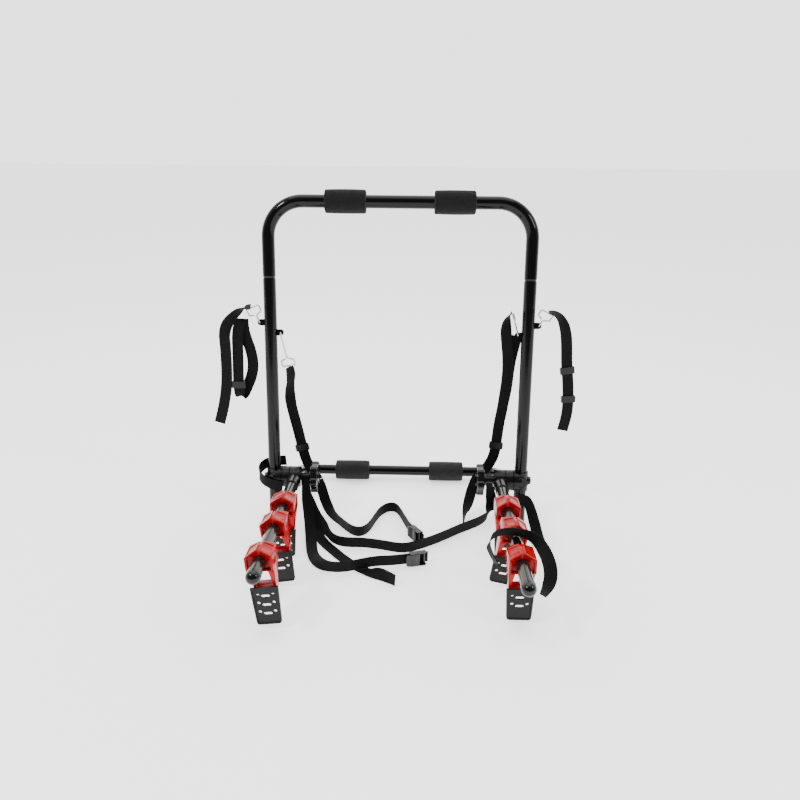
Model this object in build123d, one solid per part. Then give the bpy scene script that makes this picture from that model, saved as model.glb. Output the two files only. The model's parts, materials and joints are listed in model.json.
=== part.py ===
from build123d import *
import math
import os

# A folding bike rack that straps to a car's trunk lid.
# Millimetres and degrees. +X is the rack's right, +Y points at the car, +Z is up.
# The origin is on the ground, under the middle of the rack.

# Driving sizes of the frame
leg_spacing = 568.0
frame_lean = 8.0
hoop_height = 616.2
hoop_bend = 75.0
joint_drop = 163.2
frame_tube = 28.0
frame_wall = 1.5
lower_tube = 25.0
lower_wall = 1.5
lower_reach = 224.5
lower_drop = 21.8
lower_bend = 40.0
arm_tube = 25.0
arm_wall = 1.5
arm_length = 445.8
left_rise = 4.2
right_rise = 2.6

# Fits and clearances
seat_gap = 0.3
press_gap = 0.05
running_gap = 0.1
overrun = 1.0

# Pads on the two cross bars
pad_od = 51.0
pad_length = 88.0
pad_round = 5.0
upper_pad_x = 116.5
lower_pad_x = 122.1

# Pivot: a bolt through the leg, three toothed discs, a sleeve and a knob
bolt_d = 10.0
bolt_head_d = 18.0
bolt_head_height = 5.0
hub_radius = 24.0
disc_width = 18.0
leg_to_lower = 27.0
lower_to_arm = 21.2
tooth_count = 24
tooth_depth = 1.6
tooth_inner = 12.0
sleeve_od = 18.0
sleeve_length = 20.0
neck_gap = 2.0
collar_wall = 3.0
collar_height = 44.0
cover_radius = 13.0
cover_rim = 2.0
cover_proud = 5.0
socket_wall = 2.5
socket_start = 26.0
socket_end = 60.0
spigot_length = 24.0
hub_pocket_depth = 6.0
hub_pocket_rib = 3.0

# Knob
knob_radius = 36.0
knob_lobes = 6
knob_lobe_radius = 11.0
knob_grip = 16.0
knob_boss_d = 28.0
knob_boss_height = 4.6
knob_edge = 2.5
knob_dish = 6.0
knob_hub_radius = 11.0
knob_rim_wall = 7.0
knob_rib_width = 9.0
insert_flats = 17.0
insert_length = 12.0

# Swaged joint with its spring button
swage_length = 60.0
swage_cone = 5.0
button_drop = 22.0
button_d = 7.0
button_proud = 3.2
button_flange_d = 10.0
button_flange = 2.0
leaf_length = 30.0
leaf_width = 7.0
leaf_thickness = 0.8

# Ends and caps
plug_flange = 3.0
plug_depth = 14.0
plug_bevel = 1.0
plug_wall = 2.0
cap_radius = 13.5
cap_skirt = 7.0
cap_plug = 16.0
cap_plug_wall = 2.5

# Eyes welded to the legs, and the wire hooks in them
eye_outer_height = 357.0
eye_inner_height = 335.0
eye_thickness = 4.0
eye_radius = 7.0
eye_reach = 8.0
wire_d = 3.6

# Cradle that holds a bicycle tube, and its rubber ladder strap
cradle_length = 50.0
cradle_half_width = 25.0
cradle_roof = 26.0
cradle_shoulder = 13.0
cradle_leg_drop = 56.0
cradle_leg_width = 24.0
cradle_wall = 4.0
cradle_groove = 7.0
cradle_border = 3.2
cradle_inset = 1.4
cradle_arch = 8.0
cradle_fit = 0.1
cross_bar_height = 15.0
ladder_width = 52.0
ladder_tip_width = 46.0
ladder_thickness = 3.6
ladder_hole = 6.0
ladder_slot = 16.0
ladder_pitch = 18.0
ladder_rim = 3.0
ladder_rim_proud = 1.2
ladder_floor_gap = 9.0

# Webbing and its fittings
web_width = 25.0
web_thickness = 1.6
web_bunched = 17.0
lock_length = 16.0
lock_width = 32.0
lock_depth = 6.0
lock_bar = 3.0
cam_length = 36.0
cam_width = 30.0
cam_depth = 12.0
cam_plate = 1.5
cam_pin_d = 4.0
cam_drum_radius = 4.2
cam_thumb_length = 26.0
cam_thumb_plate = 1.6
cam_rib_count = 6
cam_rib = 0.8
web_step = 30.0
corner_share = 0.45

# Wire hooks
hook_back = 7.0
hook_front = 8.0
hook_loop_width = 29.0
hook_loop_length = 20.0
hook_shoulder = 6.0
hook_bend = 3.0

# Angles and places that follow from those sizes
joint_height = hoop_height - joint_drop
lean = math.radians(frame_lean)
drop = math.radians(lower_drop)
leg_x = leg_spacing / 2
lower_x = leg_x - leg_to_lower
arm_x = lower_x - lower_to_arm
hub_z = lower_reach * math.sin(drop) + pad_od / 2
front_reach = max(arm_length * math.cos(math.radians(rise)) for rise in (left_rise, right_rise)) + cap_radius
rear_reach = lower_reach * math.cos(drop) + pad_od / 2
hub_y = (front_reach - rear_reach) / 2
disc_out = lower_x + disc_width / 2
disc_in = lower_x - disc_width / 2
arm_hub_width = 2 * (disc_in - seat_gap - arm_x)
sleeve_out = arm_x - arm_hub_width / 2 - seat_gap
sleeve_in = sleeve_out - sleeve_length
knob_face = sleeve_in - seat_gap
bolt_bore = bolt_d + 2 * running_gap
collar_radius = frame_tube / 2 + collar_wall
frame_bore = frame_tube / 2 - frame_wall
swage_radius = frame_bore - press_gap
cam_web_y = cam_depth / 2 - cam_plate - seat_gap - web_thickness / 2
cam_pin_y = cam_web_y - web_thickness / 2 - overrun - cam_drum_radius
BASE = (Align.CENTER, Align.CENTER, Align.MIN)


def frame_plane(x=0.0, height=0.0):
    """On a leg's centreline: z runs up the leg, y points back at the car."""
    along = (0, math.sin(lean), math.cos(lean))
    start = Vector(x, hub_y, hub_z) + Vector(*along) * height
    return Plane(origin=start, x_dir=(1, 0, 0), z_dir=along)


def arm_plane(x, rise, distance=0.0):
    """On an arm's centreline: z runs out along the arm, y points up."""
    angle = math.radians(rise)
    along = (0, -math.cos(angle), math.sin(angle))
    start = Vector(x, hub_y, hub_z) + Vector(*along) * distance
    return Plane(origin=start, x_dir=(1, 0, 0), z_dir=along)


def lower_plane(x=0.0, distance=0.0):
    """On the lower frame's centreline: z runs out to the rear bar, y points down."""
    along = (0, math.cos(drop), -math.sin(drop))
    start = Vector(x, hub_y, hub_z) + Vector(*along) * distance
    return Plane(origin=start, x_dir=(1, 0, 0), z_dir=along)


def axle_plane(x):
    """On the right pivot's axis: z runs outboard."""
    return Plane(origin=(x, hub_y, hub_z), x_dir=(0, 1, 0), z_dir=(1, 0, 0))


def knob_plane(x):
    """On the right pivot's axis: z runs inboard."""
    return Plane(origin=(x, hub_y, hub_z), x_dir=(0, -1, 0), z_dir=(-1, 0, 0))


def rod(radius, length):
    return Cylinder(radius, length, align=BASE)


def pipe(radius, bore, length):
    return rod(radius, length) - rod(bore, length)


def bent_pipe(points, radius, bore, bend):
    """A pipe along straight runs with one bend radius."""
    path = FilletPolyline(*points, radius=bend)
    section = Plane(path @ 0, z_dir=path % 0) * (Circle(radius) - Circle(bore))
    return sweep(section, path=path)


def mirrored(shape):
    return mirror(shape, about=Plane.YZ)


def write(shape, name):
    export_step(shape, f"parts/{name}.step")


def write_pair(shape, name):
    """The same piece on the right, and mirrored on the left."""
    write(shape, f"right_{name}")
    write(mirrored(shape), f"left_{name}")


# Upper frame

def upper_hoop():
    start = joint_height + seat_gap + swage_cone
    corners = [(-leg_x, start), (-leg_x, hoop_height), (leg_x, hoop_height), (leg_x, start)]
    points = [frame_plane(x, height).origin for x, height in corners]
    hoop = bent_pipe(points, frame_tube / 2, frame_bore, hoop_bend)
    for x in (-leg_x, leg_x):
        cone_base = frame_plane(x, joint_height + seat_gap)
        cone = Cone(swage_radius, frame_tube / 2, swage_cone, align=BASE)
        cone -= Cone(swage_radius - frame_wall, frame_bore, swage_cone, align=BASE)
        tail_length = swage_length + seat_gap
        tail_base = frame_plane(x, joint_height - swage_length)
        hoop += cone_base * cone
        hoop += tail_base * pipe(swage_radius, swage_radius - frame_wall, tail_length)
        hoop -= button_hole(x)
    return hoop


def button_plane(x):
    """At the spring button: z points out of the rear of the leg."""
    spot = frame_plane(x, joint_height - button_drop)
    return Plane(origin=spot.origin, x_dir=(1, 0, 0), z_dir=spot.y_dir)


def button_hole(x):
    return button_plane(x) * rod(button_d / 2 + running_gap, frame_tube)


def leg(x):
    bottom = foot_distance() - plug_flange
    tube = frame_plane(x, -bottom) * pipe(frame_tube / 2, frame_bore, bottom + joint_height)
    tube -= button_hole(x)
    across = axle_plane(leg_x - frame_tube) * rod(bolt_bore / 2, 2 * frame_tube)
    return tube - (across if x > 0 else mirrored(across))


def foot_distance():
    """From the pivot down the leg to the flat of its plug, whose front edge meets the ground."""
    edge_radius = frame_tube / 2 - plug_bevel
    return (hub_z - edge_radius * math.sin(lean)) / math.cos(lean)


def leg_end_plug(x):
    flange = chamfer(rod(frame_tube / 2, plug_flange).edges().group_by(Axis.Z)[0], plug_bevel)
    stem = pipe(frame_bore - press_gap, frame_bore - plug_wall, plug_depth)
    return frame_plane(x, -foot_distance()) * (flange + Pos(0, 0, plug_flange) * stem)


def snap_button(x):
    """A domed button on a flange, carried by a thin steel leaf inside the tube."""
    reach = frame_tube / 2 + button_proud
    inner_wall = math.sqrt((swage_radius - frame_wall) ** 2 - (button_flange_d / 2) ** 2)
    flange_top = inner_wall - seat_gap
    flange_base = flange_top - button_flange
    pin = Pos(0, 0, flange_base) * rod(button_d / 2, reach - flange_base)
    pin = fillet(pin.edges().group_by(Axis.Z)[-1], button_d / 4)
    flange = Pos(0, 0, flange_base) * rod(button_flange_d / 2, button_flange)
    leaf = Pos(0, 0, flange_base - leaf_thickness) * Box(leaf_width, leaf_length, leaf_thickness, align=BASE)
    leaf = fillet(leaf.edges().filter_by(Axis.Z), leaf_width / 4)
    return button_plane(x) * (pin + flange + leaf)


def pad(tube):
    """A foam sleeve with rounded ends over a tube, centred on its bar, along X."""
    profile = RectangleRounded(pad_length, pad_od, pad_round)
    outer = revolve(split(profile, bisect_by=Plane.XZ, keep=Keep.TOP), Axis.X)
    bore = Cylinder(tube / 2 + seat_gap, pad_length + 2 * overrun)
    return outer - Rot(0, 90, 0) * bore


# Toothed pivot

def tooth_grooves():
    """Radial V grooves in a face at z = 0, deepest at the rim and fading out inwards."""
    outer = hub_radius + overrun
    half = math.pi * outer / tooth_count
    wide = Plane(origin=(outer, 0, 0), x_dir=(0, 1, 0), z_dir=(1, 0, 0))
    narrow = Plane(origin=(tooth_inner, 0, 0), x_dir=(0, 1, 0), z_dir=(1, 0, 0))
    share = tooth_inner / outer
    rim = Polygon((-half, 0), (half, 0), (0, -tooth_depth), align=None)
    core = Polygon((-half * share, 0), (half * share, 0), (0, -tooth_depth * share), align=None)
    groove = loft([wide * rim, narrow * core], ruled=True)
    return [loc * groove for loc in PolarLocations(0, tooth_count)]


def toothed_face(x, outboard):
    """The grooves on a disc's face at x, cut into it from the outboard or the inboard side."""
    plane = axle_plane(x) if outboard else knob_plane(x)
    return [plane * groove for groove in tooth_grooves()]


def hub_housing():
    """The moulded collar round the right leg: toothed face inboard, round cover in front."""
    face = disc_out + seat_gap
    disc = axle_plane(face) * rod(hub_radius, leg_x - face)
    collar = frame_plane(leg_x, -collar_height / 2) * rod(collar_radius, collar_height)
    front = frame_plane(leg_x)
    cover_plane = Plane(origin=front.origin, x_dir=(1, 0, 0), z_dir=-front.y_dir)
    cover_height = collar_radius + cover_proud
    cover = chamfer(rod(cover_radius, cover_height).edges().group_by(Axis.Z)[-1], cover_rim / 2)
    dish = Pos(0, 0, cover_height - cover_rim / 2) * rod(cover_radius - cover_rim, cover_rim)
    boss = axle_plane(leg_x) * rod(bolt_head_d / 2 + cover_rim, collar_radius + cover_rim / 2)
    body = collar + disc + boss + cover_plane * (cover - dish)
    body = body.cut(*toothed_face(face, False))
    body -= frame_plane(leg_x, -collar_height) * rod(frame_tube / 2 + press_gap, 2 * collar_height)
    return body - axle_plane(face - overrun) * rod(bolt_bore / 2, 2 * hub_radius + frame_tube)


def lower_frame_disc():
    """Toothed on both faces, with a neck and a spigot for the side tube."""
    disc = axle_plane(disc_in) * rod(hub_radius, disc_width)
    tube_start = hub_radius + neck_gap
    neck = Box(disc_width, lower_tube - 2 * lower_wall, tube_start, align=BASE)
    collar = Pos(0, 0, tube_start) * rod(lower_tube / 2, neck_gap)
    spigot = Pos(0, 0, tube_start) * rod(lower_tube / 2 - lower_wall - press_gap, neck_gap + spigot_length)
    body = disc + lower_plane(lower_x) * (neck + collar + spigot)
    body = body.cut(*toothed_face(disc_out, True), *toothed_face(disc_in, False))
    return body - axle_plane(disc_in - overrun) * rod(bolt_bore / 2, disc_width + 2 * overrun)


def arm_hub(x, rise):
    """Toothed outboard, ribbed pockets on top, and a socket for the arm tube."""
    inner = arm_x - arm_hub_width / 2
    disc = axle_plane(inner) * rod(hub_radius, arm_hub_width)
    body = disc.cut(*toothed_face(inner + arm_hub_width, True))
    body -= axle_plane(inner - overrun) * rod(bolt_bore / 2, arm_hub_width + 2 * overrun)
    if x < 0:
        body = mirrored(body)
    socket_radius = arm_tube / 2 + socket_wall
    neck = Box(arm_hub_width, arm_tube, socket_start, align=BASE)
    neck -= Box(arm_hub_width, 2 * hub_radius, bolt_d, align=BASE)
    neck -= Rot(0, 90, 0) * Cylinder(bolt_d, arm_hub_width)
    socket = Pos(0, 0, socket_start) * rod(socket_radius, socket_end - socket_start)
    socket = chamfer(socket.edges().group_by(Axis.Z)[-1], socket_wall / 2)
    body += arm_plane(x, rise) * (neck + socket)
    bore_start = socket_start + neck_gap
    body -= arm_plane(x, rise, bore_start) * rod(arm_tube / 2 + press_gap, socket_end)
    for side in (-1, 1):
        body -= arm_plane(x, rise) * hub_pocket(side)
    return body


def hub_pocket(side):
    """One of two triangular pockets moulded into the top of an arm's hub."""
    half_width = arm_hub_width / 2 - hub_pocket_rib
    near = hub_pocket_rib / 2
    points = [(near, -hub_pocket_rib), (near, hub_radius / 2), (half_width, hub_radius / 2)]
    floor = hub_radius - hub_pocket_depth
    plane = Plane(origin=(0, floor, 0), x_dir=(side, 0, 0), z_dir=(0, side, 0))
    return extrude(plane * Polygon(*points, align=None), amount=side * 2 * hub_pocket_depth)


def pivot_bolt():
    head_face = leg_x + collar_radius + cover_rim / 2
    head = chamfer(rod(bolt_head_d / 2, bolt_head_height).edges().group_by(Axis.Z)[-1], cover_rim / 2)
    end = knob_face - insert_length
    return axle_plane(head_face) * head + axle_plane(end) * rod(bolt_d / 2, head_face - end)


def spacer_sleeve():
    return axle_plane(sleeve_in) * pipe(sleeve_od / 2, bolt_bore / 2, sleeve_length)


def knob():
    """A six lobed knob: a boss to the sleeve, and a dished, ribbed inboard face."""
    outline = Circle(knob_radius - knob_lobe_radius / 2)
    lobe = Circle(knob_lobe_radius)
    outline += [loc * lobe for loc in PolarLocations(knob_radius - knob_lobe_radius, knob_lobes)]
    outline = fillet(outline.vertices(), knob_lobe_radius / 3)
    grip = extrude(outline, amount=knob_grip)
    grip = fillet(grip.edges().group_by(Axis.Z)[-1], knob_edge)
    grip = fillet(grip.edges().group_by(Axis.Z)[0], knob_edge)
    dish_outer = knob_radius - knob_rim_wall - knob_lobe_radius / 4
    dish = Pos(0, 0, knob_grip - knob_dish) * pipe(dish_outer, knob_hub_radius, knob_dish + overrun)
    grip -= dish
    rib_length = dish_outer - knob_hub_radius + knob_rib_width / 2
    rib_flat = Polygon((-knob_rib_width / 2, 0), (knob_rib_width / 2, 0), (0, knob_dish), align=None)
    rib = extrude(Plane.YZ * rib_flat, amount=rib_length)
    rib_place = Pos(knob_hub_radius - knob_rib_width / 4, 0, knob_grip - knob_dish)
    for loc in PolarLocations(0, knob_lobes):
        grip += loc * rib_place * rib
    body = Pos(0, 0, knob_boss_height) * grip + rod(knob_boss_d / 2, knob_boss_height + overrun)
    pocket = extrude(RegularPolygon(insert_flats / 2 + press_gap, 6, major_radius=False), insert_length)
    body -= Pos(0, 0, -overrun) * rod(bolt_bore / 2, knob_grip + knob_boss_height - knob_edge)
    return knob_plane(knob_face) * (body - pocket)


def knob_insert():
    hexagon = extrude(RegularPolygon(insert_flats / 2, 6, major_radius=False), insert_length - press_gap)
    return knob_plane(knob_face) * (hexagon - rod(bolt_bore / 2, insert_length))


# Lower frame and arms

def lower_frame():
    start = hub_radius + 2 * neck_gap
    corners = [(-lower_x, start), (-lower_x, lower_reach), (lower_x, lower_reach), (lower_x, start)]
    points = [lower_plane(x, distance).origin for x, distance in corners]
    return bent_pipe(points, lower_tube / 2, lower_tube / 2 - lower_wall, lower_bend)


def arm(x, rise):
    start = socket_start + 2 * neck_gap
    length = arm_length - cap_skirt - start
    return arm_plane(x, rise, start) * pipe(arm_tube / 2, arm_tube / 2 - arm_wall, length)


def arm_cap(x, rise):
    """A domed plastic cap with a plug inside the tube."""
    skirt = Pos(0, 0, -cap_skirt) * rod(cap_radius, cap_skirt)
    dome = Sphere(cap_radius) & rod(cap_radius, cap_radius)
    plug_radius = arm_tube / 2 - arm_wall - press_gap
    plug = Pos(0, 0, -cap_skirt - cap_plug) * pipe(plug_radius, plug_radius - cap_plug_wall, cap_plug)
    return arm_plane(x, rise, arm_length) * (skirt + dome + plug)


# Cradles and ladder straps: name, arm's side, distance from the pivot, tilt
CRADLES = [
    ("left_rear", -1, 152.0, 0.0),
    ("left_middle", -1, 249.0, 8.0),
    ("left_front", -1, 378.0, 6.0),
    ("right_rear", 1, 145.0, 0.0),
    ("right_middle", 1, 245.0, -12.0),
    ("right_front", 1, 352.0, 0.0),
]


def cradle_plane(side, distance, tilt):
    """On the arm at a cradle's middle, turned about the arm by its tilt."""
    rise = right_rise if side > 0 else left_rise
    upright = arm_plane(side * arm_x, rise, distance)
    return Plane(upright.location * Rot(0, 0, tilt))


def cradle():
    """A saddle over the arm with a leg on each side and a bar across below."""
    bore = arm_tube / 2 + cradle_fit
    half = cradle_half_width
    roof = Polyline((0, cradle_roof), (half, cradle_shoulder), (half, -cradle_shoulder),
                    (half - cradle_wall, -cradle_leg_drop), (half - 2 * cradle_wall, -cradle_leg_drop),
                    (bore, -bore - cradle_wall), (0, -bore - cradle_wall))
    section = make_face(Curve() + [roof, mirror(roof, about=Plane.YZ)])
    body = extrude(section, amount=cradle_length / 2, both=True)
    body -= Cylinder(bore, cradle_length + overrun)
    for end in (-1, 1):
        body -= cradle_side_cut(end)
        body -= cradle_end_recess(end)
        body -= cradle_panel(end)
    groove = Box(cradle_groove, cradle_inset * 2, cradle_length + overrun)
    return body - Pos(0, cradle_roof - cradle_inset, 0) * groove


def cradle_side_cut(end):
    """Narrows both legs towards their rounded tips, as seen from the side."""
    half = cradle_length / 2
    tip = cradle_leg_width / 2
    top = -cradle_shoulder
    low = -cradle_leg_drop - overrun
    points = [(top, half), (top, half + overrun), (low, half + overrun), (low, tip / 2),
              (low + tip, tip), (top - cradle_arch, half - cradle_arch)]
    flat = Polygon(*[(across, along * end) for across, along in points], align=None)
    plane = Plane(origin=(0, 0, 0), x_dir=(0, 1, 0), z_dir=(1, 0, 0))
    return extrude(plane * flat, amount=cradle_half_width + overrun, both=True)


def cradle_end_recess(end):
    """The hollow under the gable at each end, where the bare tube shows."""
    half = cradle_half_width - cradle_wall
    flat = Polygon((0, cradle_roof - cradle_wall), (half, cradle_shoulder - cradle_wall / 2),
                   (half, -cradle_shoulder), (-half, -cradle_shoulder),
                   (-half, cradle_shoulder - cradle_wall / 2), align=None)
    return Pos(0, 0, end * cradle_length / 2) * extrude(flat, amount=cradle_arch, both=True)


def cradle_panel(side):
    """A sunk panel in each slope of the roof, inside a raised border."""
    slope = math.atan2(cradle_roof - cradle_shoulder, cradle_half_width)
    length = math.hypot(cradle_roof - cradle_shoulder, cradle_half_width)
    middle = Vector(side * cradle_half_width / 2, (cradle_roof + cradle_shoulder) / 2, 0)
    turned = Rot(0, 0, -side * math.degrees(slope))
    width = length - 2 * cradle_border - cradle_groove / 2
    panel = Box(width, 2 * cradle_inset, cradle_length - 2 * cradle_arch - 2 * cradle_border)
    return Pos(*middle) * turned * Pos(side * cradle_groove / 4, 0, 0) * panel


def cross_bar():
    """The bar between the tips of a cradle's legs, which holds the ladder strap."""
    span = 2 * (cradle_half_width - cradle_wall)
    top = -cradle_leg_drop + cradle_wall
    bar = Box(span, cross_bar_height, cradle_leg_width)
    return Pos(0, top - cross_bar_height / 2, 0) * fillet(bar.edges().filter_by(Axis.Z), cradle_border)


def ladder_strap(plane, hang):
    """A rubber strap with rims, a row of slots and two rows of holes, hung from the cross bar."""
    top = -cradle_leg_drop + cradle_wall
    length = hang + top
    front = cradle_leg_width / 2 + seat_gap
    outline = Polygon((-ladder_tip_width / 2, -length), (ladder_tip_width / 2, -length),
                      (ladder_width / 2, 0), (-ladder_width / 2, 0), align=None)
    outline = fillet(outline.vertices().group_by(Axis.Y)[0], ladder_rim * 2)
    forward = (0, 0, 1)
    strap = extrude(outline, amount=ladder_thickness, dir=forward)
    rim_height = ladder_thickness + ladder_rim_proud
    rims = extrude(outline - offset(outline, -ladder_rim), amount=rim_height, dir=forward)
    strap += rims
    rows = int((length - ladder_pitch) / ladder_pitch)
    for row in range(rows):
        y = -ladder_pitch * (row + 1)
        slot = SlotOverall(ladder_slot, ladder_hole)
        hole = Circle(ladder_hole / 2)
        row_cut = Pos(0, y) * slot
        for side in (-1, 1):
            row_cut += Pos(side * (ladder_slot / 2 + ladder_hole), y + ladder_pitch / 4) * hole
        strap -= extrude(row_cut, amount=2 * ladder_thickness, both=True)
    return plane * Pos(0, top, front) * strap


def ladder_hang(plane, tilt):
    """How far below the arm's axis a strap ends, so that its lower corner just clears the ground."""
    turn = math.radians(abs(tilt))
    climb = math.asin(plane.z_dir.Z)
    out = cradle_leg_width / 2 + seat_gap + ladder_thickness + ladder_rim_proud
    room = plane.origin.Z - ladder_floor_gap - (ladder_tip_width / 2) * math.sin(turn) + out * math.sin(climb)
    return room / (math.cos(turn) * math.cos(climb))


# Eyes and wire hooks

def eye_place(side, outboard):
    """The middle of an eye's hole: beside a leg, outboard or inboard."""
    height = eye_outer_height if outboard else eye_inner_height
    away = 1 if outboard else -1
    start = frame_plane(side * leg_x, height).origin
    return start + Vector(side * away * (frame_tube / 2 + eye_reach), 0, 0)


def strap_anchor(side, outboard):
    """A plate with a hole, welded to the side of a leg."""
    centre = eye_place(side, outboard)
    toward = -side if outboard else side
    reach = eye_reach + frame_tube / 2
    flat = Circle(eye_radius) + Pos(toward * reach / 2, 0) * Rectangle(reach, 2 * eye_radius)
    flat -= Circle(wire_d / 2 + press_gap)
    plate = extrude(flat, amount=eye_thickness / 2, both=True)
    upright = frame_plane(centre.X, 0.0)
    turned = Plane(origin=centre, x_dir=(1, 0, 0), z_dir=upright.y_dir)
    leg_rod = frame_plane(side * leg_x) * rod(frame_tube / 2 + press_gap, hoop_height)
    return turned * plate - leg_rod


def strap_hook(side, outboard, loop_end, width):
    """A bent wire: through the eye from behind, forward, then out to a loop as wide as the webbing."""
    centre = eye_place(side, outboard)
    rearward = frame_plane().y_dir
    back = centre + rearward * hook_back
    front = centre - rearward * hook_front
    end = centre + Vector(*loop_end)
    along = (end - front).normalized()
    bar = Vector(*width)
    across = (bar - along * bar.dot(along)).normalized() * (hook_loop_width / 2)
    start = end - along * hook_loop_length
    closing = start - across.normalized() * (wire_d + seat_gap) + along * hook_shoulder / 3
    points = [back, front, start, start + along * hook_shoulder + across, end + across, end - across,
              start + along * hook_shoulder - across, closing]
    path = FilletPolyline(*points, radius=hook_bend)
    return sweep(Plane(path @ 0, z_dir=path % 0) * Circle(wire_d / 2), path=path)


# Webbing

ACROSS = (1, 0, 0)
BACK = (0, 1, 0)
UP = (0, 0, 1)
LEANING = (0, 0.14, 0.99)


def route_radii(points):
    """Each corner's arc is as large as its two runs allow."""
    radii = []
    for before, corner, after in zip(points, points[1:], points[2:]):
        coming = Vector(*corner) - Vector(*before)
        going = Vector(*after) - Vector(*corner)
        half_turn = math.radians(coming.get_angle(going)) / 2
        shorter = min(coming.length, going.length)
        radii.append(corner_share * shorter / math.tan(half_turn))
    return radii


def route_path(points):
    return FilletPolyline(*points, radius=route_radii(points))


def route_marks(points):
    """Where each corner's arc starts, is halfway and ends, as distances along the path."""
    marks = [(0.0, 0.0, 0.0)]
    travelled = 0.0
    cut_before = 0.0
    for before, corner, after, radius in zip(points, points[1:], points[2:], route_radii(points)):
        coming = Vector(*corner) - Vector(*before)
        turn = math.radians(coming.get_angle(Vector(*after) - Vector(*corner)))
        cut = radius * math.tan(turn / 2)
        travelled += coming.length - cut_before - cut
        arc = radius * turn
        marks.append((travelled, travelled + arc / 2, travelled + arc))
        travelled += arc
        cut_before = cut
    travelled += (Vector(*points[-1]) - Vector(*points[-2])).length - cut_before
    marks.append((travelled, travelled, travelled))
    return marks


def route_stations(marks):
    """Distances at which the webbing gets a section: all round the arcs, and along the runs."""
    stations = [0.0]
    for (_, _, run_start), (arc_start, arc_middle, arc_end) in zip(marks, marks[1:]):
        steps = max(1, math.ceil((arc_start - run_start) / web_step))
        stations += [run_start + (arc_start - run_start) * step / steps for step in range(1, steps + 1)]
        if arc_end > arc_start:
            stations += [arc_middle, arc_end]
    return stations


def webbing(name, route, thickness=web_thickness):
    """Flat webbing along a route of (point, direction of its width, width)."""
    points = [stop[0] for stop in route]
    path = route_path(points)
    marks = route_marks(points)
    middles = [mark[1] for mark in marks]
    total = middles[-1]
    sections = []
    for distance in route_stations(marks):
        index = max(i for i in range(len(middles) - 1) if middles[i] <= distance)
        share = (distance - middles[index]) / (middles[index + 1] - middles[index])
        stop, following = route[index], route[index + 1]
        across = Vector(*stop[1]) * (1 - share) + Vector(*following[1]) * share
        width = stop_width(stop) * (1 - share) + stop_width(following) * share
        spot = distance / total
        along = path % spot
        flat = across - along * across.dot(along)
        plane = Plane(origin=path @ spot, x_dir=flat, z_dir=along)
        corners = [(-1, -1), (1, -1), (1, 1), (-1, 1)]
        sections.append([plane.from_local_coords((x * width / 2, y * thickness / 2, 0)) for x, y in corners])
    web = ribbon(sections)
    tightest = min(route_radii(points))
    full = web.volume / (total * thickness * web_width)
    print(f"{name}: {total:.0f} mm long, tightest bend {tightest:.1f} mm, share of its full volume {full:.3f}")
    return web


def ribbon(sections):
    """A closed solid through four cornered sections, each side in flat triangles."""
    faces = [facet(*reversed(sections[0])), facet(*sections[-1])]
    for here, there in zip(sections, sections[1:]):
        for corner in (0, 1):
            following = corner + 1
            faces.append(facet(here[corner], here[following], there[following]))
            faces.append(facet(here[corner], there[following], there[corner]))
        for corner in (2, 3):
            following = (corner + 1) % 4
            faces.append(facet(here[corner], here[following], there[corner]))
            faces.append(facet(here[following], there[following], there[corner]))
    return Solid(Shell(faces))


def facet(*corners):
    return Face(Wire.make_polygon(corners, close=True))


def stop_width(stop):
    return stop[2] if len(stop) > 2 else web_width


def on_run(route, index, share=0.5):
    """A place on the straight part of a run, facing along it, with x across the webbing."""
    start, end = Vector(*route[index][0]), Vector(*route[index + 1][0])
    along = (end - start).normalized()
    across = Vector(*route[index][1]) + Vector(*route[index + 1][1])
    flat = across - along * across.dot(along)
    return Plane(origin=start + (end - start) * share, x_dir=flat, z_dir=along)


def ladder_lock(plane):
    """A moulded slider on the webbing, with grip grooves across its front."""
    body = Box(lock_width, lock_depth, lock_length)
    body = fillet(body.edges().filter_by(Axis.Y), lock_depth / 3)
    body -= Box(web_width + 4 * seat_gap, web_thickness + 4 * seat_gap, lock_length + overrun)
    groove = Box(web_width, lock_depth / 3, lock_bar / 2)
    for step in (-1, 0, 1):
        body -= Pos(0, -lock_depth / 2, step * lock_bar) * groove
    return plane * body


def cam_buckle(plane):
    """A pressed channel with a pin; the webbing runs along the inside of its base."""
    base_y = cam_depth / 2 - cam_plate / 2
    cheek_x = cam_width / 2 - cam_plate / 2
    body = Pos(0, base_y, 0) * Box(cam_width, cam_plate, cam_length)
    cheek = Box(cam_plate, cam_depth, cam_length)
    cheek = fillet(cheek.edges().filter_by(Axis.X).group_by(Axis.Y)[0], cam_depth / 3)
    for side in (-1, 1):
        body += Pos(side * cheek_x, 0, 0) * cheek
    pin = Rot(0, 90, 0) * Cylinder(cam_pin_d / 2, cam_width + cam_plate)
    body += Pos(0, cam_pin_y, 0) * pin
    bar = Rot(0, 90, 0) * Cylinder(cam_pin_d / 2, cam_width)
    body += Pos(0, 0, cam_length / 2 - cam_pin_d) * bar
    return plane * Pos(0, -cam_web_y, 0) * body


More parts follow.
